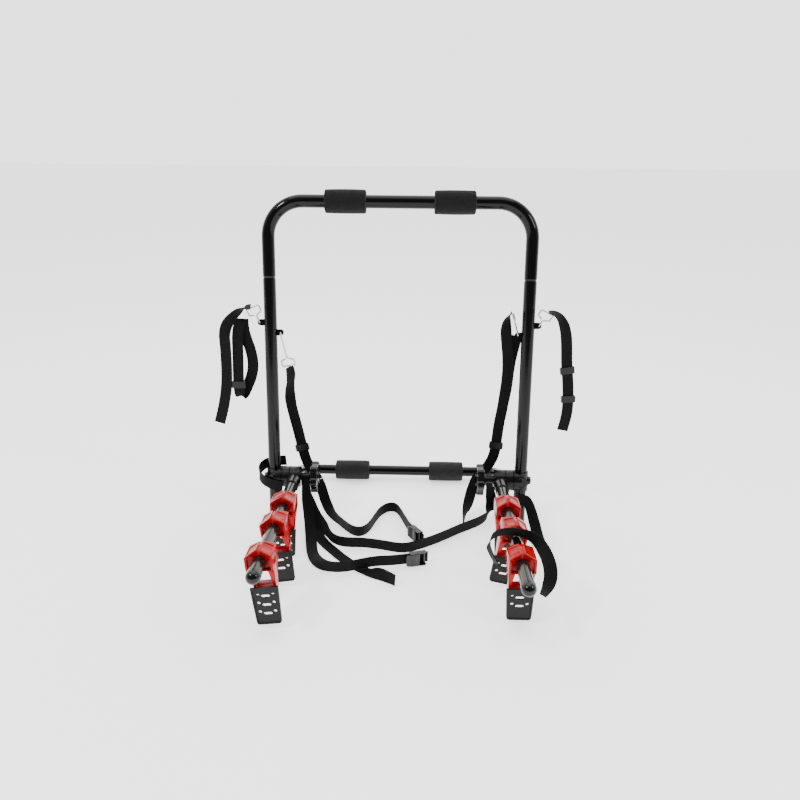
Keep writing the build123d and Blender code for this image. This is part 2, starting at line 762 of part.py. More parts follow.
def cam_lever(plane):
    """A cam drum on the pin, with a ribbed thumb plate."""
    span = cam_width - 2 * cam_plate - 2 * seat_gap
    drum = Rot(0, 90, 0) * Cylinder(cam_drum_radius, span)
    thumb_y = cam_pin_y - cam_drum_radius + cam_thumb_plate / 2
    thumb = Box(span, cam_thumb_plate, cam_thumb_length)
    thumb = fillet(thumb.edges().filter_by(Axis.Y).group_by(Axis.Z)[0], cam_drum_radius)
    lever = Pos(0, cam_pin_y, 0) * drum + Pos(0, thumb_y, -cam_thumb_length / 2) * thumb
    rib = Box(span - 2 * cam_rib, 2 * cam_rib, cam_rib)
    for step in range(cam_rib_count):
        spot = -cam_drum_radius - (step + 1) * (cam_thumb_length - cam_drum_radius) / (cam_rib_count + 2)
        lever += Pos(0, thumb_y - cam_thumb_plate / 2, spot) * rib
    lever -= Pos(0, cam_pin_y, 0) * Rot(0, 90, 0) * Cylinder(cam_pin_d / 2 + running_gap, 2 * cam_width)
    return plane * Pos(0, -cam_web_y, 0) * lever


os.makedirs("parts", exist_ok=True)

write(upper_hoop(), "upper_hoop")
write(leg(-leg_x), "left_leg")
write(leg(leg_x), "right_leg")
write(Compound([leg_end_plug(-leg_x), leg_end_plug(leg_x)]), "leg_end_plugs")
write(snap_button(-leg_x), "left_snap_button")
write(snap_button(leg_x), "right_snap_button")
write_pair(Pos(*frame_plane(upper_pad_x, hoop_height).origin) * pad(frame_tube), "upper_pad")
write_pair(Pos(*lower_plane(lower_pad_x, lower_reach).origin) * pad(lower_tube), "lower_pad")

write_pair(hub_housing(), "hub_housing")
write(Compound([lower_frame_disc(), mirrored(lower_frame_disc())]), "lower_frame_discs")
write(lower_frame(), "lower_frame")
write(Compound([pivot_bolt(), mirrored(pivot_bolt())]), "pivot_bolts")
write(Compound([spacer_sleeve(), mirrored(spacer_sleeve())]), "spacer_sleeves")
write_pair(knob(), "knob")
write_pair(knob_insert(), "knob_insert")

for side, rise, name in ((-1, left_rise, "left"), (1, right_rise, "right")):
    write(arm(side * arm_x, rise), f"{name}_arm")
    write(arm_hub(side * arm_x, rise), f"{name}_arm_hub")
    write(arm_cap(side * arm_x, rise), f"{name}_arm_cap")

for name, side, distance, tilt in CRADLES:
    plane = cradle_plane(side, distance, tilt)
    write(plane * (cradle() + cross_bar()), f"{name}_cradle")
    write(ladder_strap(plane, ladder_hang(plane, tilt)), f"{name}_ladder_strap")

# Where each wire hook's loop ends, from the middle of its eye
LEFT_OUTER_HOOK = (-15.0, -7.1, 34.6)
LEFT_INNER_HOOK = (14.0, 3.9, -78.6)
RIGHT_OUTER_HOOK = (16.0, -8.1, 31.6)
RIGHT_INNER_HOOK = (-13.0, 3.9, 48.4)

# Routes of the webbing, chosen by hand: a point, the direction of the width there, and the
# width where the webbing is bunched
LEFT_OUTER = [
    ((-324.5, 154.9, 498.2), (0.2, 0.95, 0.2)), ((-336, 153.5, 499), (0.3, 0.85, 0.2)),
    ((-350, 152, 490), (0.45, 0.75, -0.3)), ((-365, 150, 477), (0.6, 0.6, -0.5)),
    ((-378, 149, 461), (0.9, 0.3, -0.5)), ((-386, 148, 438), ACROSS), ((-385, 148, 409), ACROSS),
    ((-386, 149, 376), ACROSS), ((-387.5, 150, 343), ACROSS), ((-391, 150.5, 312), ACROSS),
    ((-397, 151, 282), ACROSS), ((-405, 152, 252), (0.95, 0, -0.25)), ((-414, 153, 224), (0.95, 0, -0.3)),
]
LEFT_OUTER_LOOP = [
    ((-350, 160.5, 467), ACROSS), ((-356, 158.5, 450), ACROSS), ((-359, 155.5, 428), ACROSS),
    ((-359.5, 154.5, 402), ACROSS), ((-361, 154, 368), ACROSS), ((-363, 154, 335), ACROSS),
    ((-363.5, 154.6, 301), ACROSS), ((-362, 158.5, 287), ACROSS), ((-355, 164, 292), ACROSS),
    ((-345, 165.5, 313), ACROSS), ((-334, 165, 337), ACROSS), ((-329, 164.5, 364), ACROSS),
    ((-332, 164.5, 394), ACROSS), ((-340, 164, 422), ACROSS), ((-346, 163, 448), ACROSS),
    ((-345, 162, 470), ACROSS),
]
LEFT_INNER = [
    ((-247.6, 163, 360.1), (0.5, 0.85, 0)), ((-244, 164, 343), (0.7, 0.7, 0)), ((-247, 165.5, 321), (0.6, 0.8, 0)),
    ((-250, 166, 297), (0.8, 0.55, 0)), ((-248.5, 165.5, 270), ACROSS), ((-243, 165, 243), ACROSS),
    ((-236, 164, 212), ACROSS), ((-230, 162.5, 183), ACROSS), ((-221, 160, 139), ACROSS),
    ((-211, 159, 113), ACROSS), ((-199, 158, 95), ACROSS), ((-191, 156, 79), ACROSS),
]
LOWER_BACK = [
    ((-190.6, 155.9, 78.2), ACROSS), ((-184, 154.2, 64), ACROSS), ((-175, 141, 39), (1, 0.3, 0.3)),
    ((-163, 121, 22), (0.8, 0.3, 0.7)), ((-150, 101, 15), (0.3, 0.1, 1)), ((-135, 82, 13.2), UP),
    ((-117, 58, 13.1), UP), ((-101, 39, 13.1), UP), ((-83, 31, 13.1), UP), ((-68, 43, 13.1), UP),
    ((-58, 68, 13.1), UP), ((-50, 98, 13.1), UP), ((-40, 127, 13.1), UP), ((-23, 148, 13.1), UP),
    ((-4, 148, 13.1), UP), ((8, 122, 13.1), UP), ((17, 92, 13.3), UP), ((26.5, 62, 14.2), UP),
    ((33.9, 42.2, 16.2), UP), ((62, -0.4, 16.2), UP),
]
LOWER_FRONT = [
    ((-213.3, 101.2, 113), ACROSS, web_bunched), ((-212, 98.5, 94), ACROSS, web_bunched),
    ((-207, 84, 66), ACROSS), ((-200, 60, 35), ACROSS), ((-193, 29, 11), ACROSS), ((-187, -5, 3.2), ACROSS),
    ((-180, -40, 2.6), ACROSS), ((-168, -75, 8.5), (1, 0, 0.6)), ((-151, -100, 13.5), (0.6, 0, 1)),
    ((-129, -112, 15.8), (0.1, 0, 1)), ((-101, -112, 16.4), UP), ((-70, -98, 16.4), UP),
    ((-38, -87, 16.4), UP), ((-8, -84.5, 16.4), UP), ((25, -77.2, 16.2), UP), ((70, -65.6, 16.2), UP),
]
LOWER_MIDDLE = [
    ((-213.3, 104.4, 99.9), ACROSS, web_bunched), ((-210, 97.5, 80), ACROSS, web_bunched),
    ((-200, 83, 55), ACROSS), ((-186, 66, 34), (1, 0, 0.2)), ((-168, 48, 21), (1, 0, 0.9)),
    ((-152, 20, 16.4), (0.2, 0, 1)), ((-137, -6, 16.4), UP), ((-111, -18, 16.4), UP),
    ((-72, -14.5, 15), UP), ((-30, -21, 14), UP), ((9, -33, 14), UP), ((35, -28, 14), UP),
    ((61.6, -11.6, 14), UP),
]
LOWER_TAIL = [
    ((-213.3, 112.6, 98), ACROSS, web_bunched), ((-209, 104, 72), ACROSS, web_bunched),
    ((-201, 87, 41), ACROSS), ((-192, 65, 15), ACROSS), ((-180, 39, 3.6), (0.9, 0.35, 0)),
    ((-166, 12, 1.9), (0.83, 0.55, 0)), ((-150, -11, 1.8), (0.8, 0.6, 0)), ((-133, -32, 1.8), (0.78, 0.63, 0)),
    ((-116, -53.6, 1.8), (0.75, 0.66, 0)), ((-96, -75, 1.8), (0.7, 0.7, 0)),
    ((-76, -91.5, 1.8), (0.63, 0.77, 0)), ((-57, -106.5, 2.2), (0.6, 0.75, 0)), ((-40, -119, 8.8), (0.4, 0.6, 0.5)),
    ((-20, -133, 13.2), (0.2, 0.3, 0.9)), ((3, -152, 14.2), (0.1, 0.1, 0.97)),
]
LOWER_RIGHT = [
    ((62.1, -11.3, 14), UP), ((84, 3.4, 13.6), UP), ((115, 29, 13.1), UP), ((145, 54.5, 13.1), UP),
    ((170, 72, 13.2), UP), ((195, 90, 14), UP), ((215, 112, 17), (0.5, 0.3, 1)), ((223, 131, 30), (1, 0.3, 0.6)),
    ((222, 141, 53), ACROSS), ((217, 138, 78), ACROSS, web_bunched), ((213.3, 125.2, 99), ACROSS, web_bunched),
    ((213.3, 122.4, 112), ACROSS, web_bunched),
]
RIGHT_INNER = [
    ((246.4, 162.9, 491), (0.1, 0.98, 0)), ((240, 163.5, 485), (0.35, 0.9, 0)),
    ((236, 164, 468), (0.8, 0.5, 0)), ((236.5, 164.5, 446), ACROSS), ((240, 165, 420), ACROSS),
    ((244, 165, 391), ACROSS), ((246, 165, 360), ACROSS), ((245, 165, 328), ACROSS),
    ((242, 165, 296), ACROSS), ((239, 165.5, 263), ACROSS), ((233.5, 164.5, 229), ACROSS),
    ((231, 163, 196), ACROSS), ((227, 161, 152), ACROSS), ((215, 160, 124), ACROSS),
    ((201, 159.5, 107), ACROSS), ((187, 157.5, 90), ACROSS), ((178, 152, 66), ACROSS),
    ((170, 138, 42), (1, 0, 0.3)), ((163, 119, 24), (0.7, 0, 0.7)), ((157.5, 96, 14.6), (0.2, 0, 1)),
    ((154, 63, 13.4), UP),
]
RIGHT_SECOND = [
    ((262, 170, 437), ACROSS), ((257, 170.5, 412), ACROSS), ((252, 170.5, 385), ACROSS),
    ((249, 170, 357), ACROSS), ((247.5, 168.6, 330), ACROSS), ((244.5, 167.2, 300), ACROSS),
    ((241.5, 167.8, 281), ACROSS),
]
RIGHT_OUTER = [
    ((325.5, 153.9, 495), (0.2, 0.95, 0)), ((338, 153, 494), (0.3, 0.9, 0.2)), ((351, 151, 484), (0.6, 0.7, 0.3)),
    ((361, 149.5, 466), (0.9, 0.3, 0.3)), ((367, 148.5, 441), ACROSS), ((370, 148, 412), ACROSS),
    ((372.5, 148, 382), ACROSS), ((378, 148.5, 348), ACROSS), ((382, 149, 318), ACROSS),
    ((385, 149.5, 276), ACROSS), ((383, 150.5, 247), (1, 0, 0.1)), ((378, 152, 219), (1, 0, 0.15)),
]
RIGHT_ARM_BAND = [
    ((197, -207, 93), (0.3, -0.85, 0.3)), ((186, -201, 109), (0.2, -0.85, 0.5)),
    ((179, -198, 130), (0.1, -0.6, 0.8)), ((189, -183, 143.4), (0, -0.5, 0.87)), ((210, -175, 146), (0, -0.45, 0.89)),
    ((243, -177, 146), (0, -0.45, 0.89)), ((265, -197, 146.4), (0.3, -0.3, 0.85)),
    ((278, -232, 143), (0.75, 0, 0.6)), ((286, -262, 126), (0.9, 0, 0.3)), ((284, -280, 103), (0.9, 0.2, 0)),
    ((270, -289, 84), (0.7, 0.6, -0.3)),
]
LEFT_HUB_BAND = [
    ((-262, 85.6, 97), UP), ((-276, 85, 99), UP), ((-292, 86, 103), UP), ((-307, 91.5, 109), UP),
    ((-318, 103, 115), UP), ((-321, 118, 120), UP), ((-316, 131, 126), UP), ((-304, 139, 131), UP),
    ((-290, 139.5, 134), UP), ((-276, 141, 136), UP), ((-261, 139, 137), UP),
]
RIGHT_HUB_BAND = [
    ((275, 91.4, 71), LEANING), ((288, 91, 70), LEANING), ((299, 94, 67), (0.2, 0, 1)), ((307, 85, 53), (0.6, 0, 0.8)),
    ((313, 62, 32), (0.9, 0, 0.4)), ((318, 33, 13), ACROSS), ((323, 3, 4), ACROSS), ((327, -26, 2.4), ACROSS),
]

write(Compound([strap_anchor(side, out) for side in (-1, 1) for out in (False, True)]), "strap_anchors")
HOOKS = [(-1, True, LEFT_OUTER_HOOK, ACROSS), (-1, False, LEFT_INNER_HOOK, ACROSS),
         (1, True, RIGHT_OUTER_HOOK, ACROSS), (1, False, RIGHT_INNER_HOOK, BACK)]
write(Compound([strap_hook(*hook) for hook in HOOKS]), "strap_hooks")

ROUTES = {
    "left_outer_strap": LEFT_OUTER, "left_outer_loop": LEFT_OUTER_LOOP, "left_inner_strap": LEFT_INNER,
    "right_outer_strap": RIGHT_OUTER, "lower_strap_front": LOWER_FRONT, "lower_strap_middle": LOWER_MIDDLE,
    "lower_strap_back": LOWER_BACK, "lower_strap_right": LOWER_RIGHT, "lower_strap_tail": LOWER_TAIL,
    "right_arm_strap": RIGHT_ARM_BAND, "left_hub_strap": LEFT_HUB_BAND, "right_hub_strap": RIGHT_HUB_BAND,
}
for name, route in ROUTES.items():
    write(webbing(name, route), name)
right_inner = [webbing("right_inner_strap", RIGHT_INNER), webbing("its second layer", RIGHT_SECOND)]
write(Compound(right_inner), "right_inner_strap")

write(ladder_lock(on_run(LEFT_OUTER_LOOP, 5)), "left_outer_buckle")
write(Compound([ladder_lock(on_run(RIGHT_OUTER, index)) for index in (6, 8)]), "right_outer_buckles")
write(Compound([ladder_lock(on_run(LEFT_INNER, 7)), ladder_lock(on_run(RIGHT_INNER, 11))]), "ladder_locks")


def buckle_plane(route):
    """On the last run of a lower strap, turned so that the thumb plate faces the front."""
    run = on_run(route, len(route) - 2)
    return Plane(origin=run.origin, x_dir=(0, 0, -1), z_dir=run.z_dir)


for name, route in (("front", LOWER_FRONT), ("rear", LOWER_BACK)):
    write(cam_buckle(buckle_plane(route)), f"{name}_cam_buckle")
    write(cam_lever(buckle_plane(route)), f"{name}_cam_lever")
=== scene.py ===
# %% [markdown]
# A bike rack that straps to a car's trunk, standing folded open on a pale floor.
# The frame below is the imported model, in metres, with +Z up and +Y towards the car.
# Its own pieces carry the joints. This notebook gives them their finish, and makes
# what a plain solid can't show: woven webbing, padded sleeves, sewing and softened edges.

import json
import math
import random

import bmesh
import bpy
from mathutils import Matrix, Vector


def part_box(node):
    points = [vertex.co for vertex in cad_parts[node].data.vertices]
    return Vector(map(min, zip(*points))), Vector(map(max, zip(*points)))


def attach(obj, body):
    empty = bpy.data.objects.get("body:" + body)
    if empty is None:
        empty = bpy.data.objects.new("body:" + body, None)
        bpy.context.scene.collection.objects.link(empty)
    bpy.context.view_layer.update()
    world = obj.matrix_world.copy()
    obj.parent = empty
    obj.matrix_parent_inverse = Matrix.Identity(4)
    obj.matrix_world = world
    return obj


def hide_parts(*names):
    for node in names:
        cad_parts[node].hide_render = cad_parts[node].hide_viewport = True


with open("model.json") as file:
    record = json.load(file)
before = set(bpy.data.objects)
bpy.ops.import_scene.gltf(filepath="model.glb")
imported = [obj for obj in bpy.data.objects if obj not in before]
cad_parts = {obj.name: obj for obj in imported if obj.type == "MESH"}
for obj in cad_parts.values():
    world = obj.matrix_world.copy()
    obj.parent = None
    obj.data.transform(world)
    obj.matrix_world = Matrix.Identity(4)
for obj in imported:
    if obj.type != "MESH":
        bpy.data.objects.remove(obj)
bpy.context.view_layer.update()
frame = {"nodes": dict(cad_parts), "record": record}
random.seed(7)

# %% [markdown]
# The camera comes first, because the fit of every later piece is judged through it.
# It stood in front of the rack at about eye height of a person who crouches, looked
# down by some twenty degrees and turned a little to the left. Its place was worked out
# from the outlines of the legs, the hoop and the arms. A lens of 31.5 mm on a 36 mm
# sensor gives the same angle as 700 pixels of focal length in a frame of 800.

# %% Camera
IMAGE_SIZE = 800
FOCAL_PIXELS = 700
SENSOR_WIDTH = 36
CAMERA_PLACE = Vector((0.0325, -1.34065, 0.84847))
PITCH, YAW, ROLL = (math.radians(angle) for angle in (20.6, 1.1, 0.5))


def camera_axes():
    turn = Matrix.Rotation(YAW, 3, "Z") @ Matrix.Rotation(-PITCH, 3, "X")
    right, forward, up = (turn @ Vector(axis) for axis in ((1, 0, 0), (0, 1, 0), (0, 0, 1)))
    level, tall = math.cos(ROLL), math.sin(ROLL)
    return right * level + up * tall, up * level - right * tall, -forward


camera = bpy.data.objects.new("camera", bpy.data.cameras.new("camera"))
bpy.context.scene.collection.objects.link(camera)
camera.data.sensor_width = SENSOR_WIDTH
camera.data.lens = SENSOR_WIDTH * FOCAL_PIXELS / IMAGE_SIZE
camera.matrix_world = Matrix.Translation(CAMERA_PLACE) @ Matrix(camera_axes()).transposed().to_4x4()
bpy.context.scene.camera = camera
print("lens:", camera.data.lens)

# %% [markdown]
# Webbing is woven flat tape, 25 mm wide. It bends easily across its face and hardly at
# all on edge, so a loose length twists as it goes. Each strap follows a listed route
# of points, each with the direction that the tape's width has there. A smooth spline
# runs along the points, and the tape is laid on it. A Cloth simulation would move the
# straps away from where they were seen, so the route is given instead.
# Where a strap is squeezed through an eye, its bunched width is given as well.

# %% Sizes of the webbing
WEB_WIDTH = 0.025
WEB_THICKNESS = 0.0016
BUNCHED = 0.017
ACROSS = (1, 0, 0)
UP = (0, 0, 1)
LEANING = (0, 0.14, 0.99)

# %% Routes of the webbing
LEFT_OUTER = [
    ((-0.3245, 0.1549, 0.4982), (0.2, 0.95, 0.2)), ((-0.336, 0.1535, 0.499), (0.3, 0.85, 0.2)),
    ((-0.35, 0.152, 0.49), (0.45, 0.75, -0.3)), ((-0.365, 0.15, 0.477), (0.6, 0.6, -0.5)),
    ((-0.378, 0.149, 0.461), (0.9, 0.3, -0.5)), ((-0.386, 0.148, 0.438), ACROSS),
    ((-0.385, 0.148, 0.409), ACROSS), ((-0.386, 0.149, 0.376), ACROSS), ((-0.3875, 0.15, 0.343), ACROSS),
    ((-0.391, 0.1505, 0.312), ACROSS), ((-0.397, 0.151, 0.282), ACROSS),
    ((-0.405, 0.152, 0.252), (0.95, 0, -0.25)), ((-0.414, 0.153, 0.224), (0.95, 0, -0.3)),
]
LEFT_OUTER_LOOP = [
    ((-0.35, 0.1605, 0.467), ACROSS), ((-0.356, 0.1585, 0.45), ACROSS), ((-0.359, 0.1555, 0.428), ACROSS),
    ((-0.3595, 0.1545, 0.402), ACROSS), ((-0.361, 0.154, 0.368), ACROSS),
    ((-0.363, 0.154, 0.335), ACROSS), ((-0.3635, 0.1546, 0.301), ACROSS),
    ((-0.362, 0.1585, 0.287), ACROSS), ((-0.355, 0.164, 0.292), ACROSS),
    ((-0.345, 0.1655, 0.313), ACROSS), ((-0.334, 0.165, 0.337), ACROSS),
    ((-0.329, 0.1645, 0.364), ACROSS), ((-0.332, 0.1645, 0.394), ACROSS), ((-0.34, 0.164, 0.422), ACROSS),
    ((-0.346, 0.163, 0.448), ACROSS), ((-0.345, 0.162, 0.47), ACROSS),
]
LEFT_INNER = [
    ((-0.2476, 0.163, 0.3601), (0.5, 0.85, 0)), ((-0.244, 0.164, 0.343), (0.7, 0.7, 0)),
    ((-0.247, 0.1655, 0.321), (0.6, 0.8, 0)), ((-0.25, 0.166, 0.297), (0.8, 0.55, 0)),
    ((-0.2485, 0.1655, 0.27), ACROSS), ((-0.243, 0.165, 0.243), ACROSS), ((-0.236, 0.164, 0.212), ACROSS),
    ((-0.23, 0.1625, 0.183), ACROSS), ((-0.221, 0.16, 0.139), ACROSS), ((-0.211, 0.159, 0.113), ACROSS),
    ((-0.199, 0.158, 0.095), ACROSS), ((-0.191, 0.156, 0.079), ACROSS),
]
LOWER_BACK = [
    ((-0.1906, 0.1559, 0.0782), ACROSS), ((-0.184, 0.1542, 0.064), ACROSS),
    ((-0.175, 0.141, 0.039), (1, 0.3, 0.3)), ((-0.163, 0.121, 0.022), (0.8, 0.3, 0.7)),
    ((-0.15, 0.101, 0.015), (0.3, 0.1, 1)), ((-0.135, 0.082, 0.0132), UP), ((-0.117, 0.058, 0.0131), UP),
    ((-0.101, 0.039, 0.0131), UP), ((-0.083, 0.031, 0.0131), UP), ((-0.068, 0.043, 0.0131), UP),
    ((-0.058, 0.068, 0.0131), UP), ((-0.05, 0.098, 0.0131), UP), ((-0.04, 0.127, 0.0131), UP),
    ((-0.023, 0.148, 0.0131), UP), ((-0.004, 0.148, 0.0131), UP), ((0.008, 0.122, 0.0131), UP),
    ((0.017, 0.092, 0.0133), UP), ((0.0265, 0.062, 0.0142), UP), ((0.0339, 0.0422, 0.0162), UP),
    ((0.062, -0.0004, 0.0162), UP),
]
LOWER_FRONT = [
    ((-0.2133, 0.1012, 0.113), ACROSS, BUNCHED), ((-0.212, 0.0985, 0.094), ACROSS, BUNCHED),
    ((-0.207, 0.084, 0.066), ACROSS), ((-0.2, 0.06, 0.035), ACROSS), ((-0.193, 0.029, 0.011), ACROSS),
    ((-0.187, -0.005, 0.0032), ACROSS), ((-0.18, -0.04, 0.0026), ACROSS),
    ((-0.168, -0.075, 0.0085), (1, 0, 0.6)), ((-0.151, -0.1, 0.0135), (0.6, 0, 1)),
    ((-0.129, -0.112, 0.0158), (0.1, 0, 1)), ((-0.101, -0.112, 0.0164), UP),
    ((-0.07, -0.098, 0.0164), UP), ((-0.038, -0.087, 0.0164), UP), ((-0.008, -0.0845, 0.0164), UP),
    ((0.025, -0.0772, 0.0162), UP), ((0.07, -0.0656, 0.0162), UP),
]
LOWER_MIDDLE = [
    ((-0.2133, 0.1044, 0.0999), ACROSS, BUNCHED), ((-0.21, 0.0975, 0.08), ACROSS, BUNCHED),
    ((-0.2, 0.083, 0.055), ACROSS), ((-0.186, 0.066, 0.034), (1, 0, 0.2)),
    ((-0.168, 0.048, 0.021), (1, 0, 0.9)), ((-0.152, 0.02, 0.0164), (0.2, 0, 1)),
    ((-0.137, -0.006, 0.0164), UP), ((-0.111, -0.018, 0.0164), UP), ((-0.072, -0.0145, 0.015), UP),
    ((-0.03, -0.021, 0.014), UP), ((0.009, -0.033, 0.014), UP), ((0.035, -0.028, 0.014), UP),
    ((0.0616, -0.0116, 0.014), UP),
]
LOWER_TAIL = [
    ((-0.2133, 0.1126, 0.098), ACROSS, BUNCHED), ((-0.209, 0.104, 0.072), ACROSS, BUNCHED),
    ((-0.201, 0.087, 0.041), ACROSS), ((-0.192, 0.065, 0.015), ACROSS),
    ((-0.18, 0.039, 0.0036), (0.9, 0.35, 0)), ((-0.166, 0.012, 0.0019), (0.83, 0.55, 0)),
    ((-0.15, -0.011, 0.0018), (0.8, 0.6, 0)), ((-0.133, -0.032, 0.0018), (0.78, 0.63, 0)),
    ((-0.116, -0.0536, 0.0018), (0.75, 0.66, 0)), ((-0.096, -0.075, 0.0018), (0.7, 0.7, 0)),
    ((-0.076, -0.0915, 0.0018), (0.63, 0.77, 0)), ((-0.057, -0.1065, 0.0022), (0.6, 0.75, 0)),
    ((-0.04, -0.119, 0.0088), (0.4, 0.6, 0.5)), ((-0.02, -0.133, 0.0132), (0.2, 0.3, 0.9)),
    ((0.003, -0.152, 0.0142), (0.1, 0.1, 0.97)),
]
LOWER_RIGHT = [
    ((0.0621, -0.0113, 0.014), UP), ((0.084, 0.0034, 0.0136), UP), ((0.115, 0.029, 0.0131), UP),
    ((0.145, 0.0545, 0.0131), UP), ((0.17, 0.072, 0.0132), UP), ((0.195, 0.09, 0.014), UP),
    ((0.215, 0.112, 0.017), (0.5, 0.3, 1)), ((0.223, 0.131, 0.03), (1, 0.3, 0.6)),
    ((0.222, 0.141, 0.053), ACROSS), ((0.217, 0.138, 0.078), ACROSS, BUNCHED),
    ((0.2133, 0.1252, 0.099), ACROSS, BUNCHED), ((0.2133, 0.1224, 0.112), ACROSS, BUNCHED),
]
RIGHT_INNER = [
    ((0.2464, 0.1629, 0.491), (0.1, 0.98, 0)), ((0.24, 0.1635, 0.485), (0.35, 0.9, 0)),
    ((0.236, 0.164, 0.468), (0.8, 0.5, 0)), ((0.2365, 0.1645, 0.446), ACROSS),
    ((0.24, 0.165, 0.42), ACROSS), ((0.244, 0.165, 0.391), ACROSS), ((0.246, 0.165, 0.36), ACROSS),
    ((0.245, 0.165, 0.328), ACROSS), ((0.242, 0.165, 0.296), ACROSS), ((0.239, 0.1655, 0.263), ACROSS),
    ((0.2335, 0.1645, 0.229), ACROSS), ((0.231, 0.163, 0.196), ACROSS), ((0.227, 0.161, 0.152), ACROSS),
    ((0.215, 0.16, 0.124), ACROSS), ((0.201, 0.1595, 0.107), ACROSS), ((0.187, 0.1575, 0.09), ACROSS),
    ((0.178, 0.152, 0.066), ACROSS), ((0.17, 0.138, 0.042), (1, 0, 0.3)),
    ((0.163, 0.119, 0.024), (0.7, 0, 0.7)), ((0.1575, 0.096, 0.0146), (0.2, 0, 1)),
    ((0.154, 0.063, 0.0134), UP),
]
RIGHT_SECOND = [
    ((0.262, 0.17, 0.437), ACROSS), ((0.257, 0.1705, 0.412), ACROSS), ((0.252, 0.1705, 0.385), ACROSS),
    ((0.249, 0.17, 0.357), ACROSS), ((0.2475, 0.1686, 0.33), ACROSS), ((0.2445, 0.1672, 0.3), ACROSS),
    ((0.2415, 0.1678, 0.281), ACROSS),
]
RIGHT_OUTER = [
    ((0.3255, 0.1539, 0.495), (0.2, 0.95, 0)), ((0.338, 0.153, 0.494), (0.3, 0.9, 0.2)),
    ((0.351, 0.151, 0.484), (0.6, 0.7, 0.3)), ((0.361, 0.1495, 0.466), (0.9, 0.3, 0.3)),
    ((0.367, 0.1485, 0.441), ACROSS), ((0.37, 0.148, 0.412), ACROSS), ((0.3725, 0.148, 0.382), ACROSS),
    ((0.378, 0.1485, 0.348), ACROSS), ((0.382, 0.149, 0.318), ACROSS), ((0.385, 0.1495, 0.276), ACROSS),
    ((0.383, 0.1505, 0.247), (1, 0, 0.1)), ((0.378, 0.152, 0.219), (1, 0, 0.15)),
]
RIGHT_ARM_BAND = [
    ((0.197, -0.207, 0.093), (0.3, -0.85, 0.3)), ((0.186, -0.201, 0.109), (0.2, -0.85, 0.5)),
    ((0.179, -0.198, 0.13), (0.1, -0.6, 0.8)), ((0.189, -0.183, 0.1434), (0, -0.5, 0.87)),
    ((0.21, -0.175, 0.146), (0, -0.45, 0.89)), ((0.243, -0.177, 0.146), (0, -0.45, 0.89)),
    ((0.265, -0.197, 0.1464), (0.3, -0.3, 0.85)), ((0.278, -0.232, 0.143), (0.75, 0, 0.6)),
    ((0.286, -0.262, 0.126), (0.9, 0, 0.3)), ((0.284, -0.28, 0.103), (0.9, 0.2, 0)),
    ((0.27, -0.289, 0.084), (0.7, 0.6, -0.3)),
]
LEFT_HUB_BAND = [
    ((-0.262, 0.0856, 0.097), UP), ((-0.276, 0.085, 0.099), UP), ((-0.292, 0.086, 0.103), UP),
    ((-0.307, 0.0915, 0.109), UP), ((-0.318, 0.103, 0.115), UP), ((-0.321, 0.118, 0.12), UP),
    ((-0.316, 0.131, 0.126), UP), ((-0.304, 0.139, 0.131), UP), ((-0.29, 0.1395, 0.134), UP),
    ((-0.276, 0.141, 0.136), UP), ((-0.261, 0.139, 0.137), UP),
]
RIGHT_HUB_BAND = [
    ((0.275, 0.0914, 0.071), LEANING), ((0.288, 0.091, 0.07), LEANING),
    ((0.299, 0.094, 0.067), (0.2, 0, 1)), ((0.307, 0.085, 0.053), (0.6, 0, 0.8)),
    ((0.313, 0.062, 0.032), (0.9, 0, 0.4)), ((0.318, 0.033, 0.013), ACROSS),
    ((0.323, 0.003, 0.004), ACROSS), ((0.327, -0.026, 0.0024), ACROSS),
]

# %% [markdown]
# The spline is a NURBS curve whose control points are the route. Read back as a mesh
# it gives equally many samples for each control point, and between two control points
# the width's direction is blended by how near each one is.

# %% Smooth line along a route
SAMPLES_PER_STOP = 8
SPLINE_ORDER = 3
ROUNDING_ERROR = 1e-9


def deselect_all():
    for item in bpy.context.selected_objects:
        item.select_set(False)


def smooth_line(name, route):
    curve = bpy.data.curves.new(name, "CURVE")
    curve.dimensions = "3D"
    curve.resolution_u = SAMPLES_PER_STOP
    spline = curve.splines.new("NURBS")
    spline.points.add(len(route) - 1)
    for point, stop in zip(spline.points, route):
        point.co = (*stop[0], 1)
    spline.order_u = SPLINE_ORDER
    spline.use_endpoint_u = True
    holder = bpy.data.objects.new(name, curve)
    bpy.context.scene.collection.objects.link(holder)
    mesh = bpy.data.meshes.new_from_object(holder)
    line = [vertex.co.copy() for vertex in mesh.vertices]
    bpy.data.objects.remove(holder)
    bpy.data.curves.remove(curve)
    bpy.data.meshes.remove(mesh)
    return line


def line_length(line):
    return sum((after - before).length for before, after in zip(line, line[1:]))


# %% Width and direction at each sample
def stop_weights(count, share):
    """Which two control points a sample lies between, and how far along."""
    places = [0] + [index - 0.5 for index in range(1, count - 1)] + [count - 2]
    here = share * (count - 2)
    index = max(i for i in range(count - 1) if places[i] <= here + ROUNDING_ERROR)
    return index, (here - places[index]) / (places[index + 1] - places[index])


def tape_frames(route, line):
    """At each sample: its place, the width's direction, the face's normal and the width."""
    frames = []
    for number, spot in enumerate(line):
        before, after = line[max(number - 1, 0)], line[min(number + 1, len(line) - 1)]
        along = (after - before).normalized()
        index, blend = stop_weights(len(route), number / (len(line) - 1))
        across = Vector(route[index][1]) * (1 - blend) + Vector(route[index + 1][1]) * blend
        across = (across - along * across.dot(along)).normalized()
        stops = (route[index], route[index + 1])
        widths = [stop[2] if len(stop) > 2 else WEB_WIDTH for stop in stops]
        width = widths[0] * (1 - blend) + widths[1] * blend
        frames.append((spot, across, along.cross(across), width))
    return frames


# %% [markdown]
# A tape's section isn't a plain rectangle: its two selvedges are rounded and a little
# thicker than its middle. Fourteen points round the tape, in half widths and in
# thicknesses, are enough. A UV map in metres lets the weave follow the tape whatever
# way it twists.

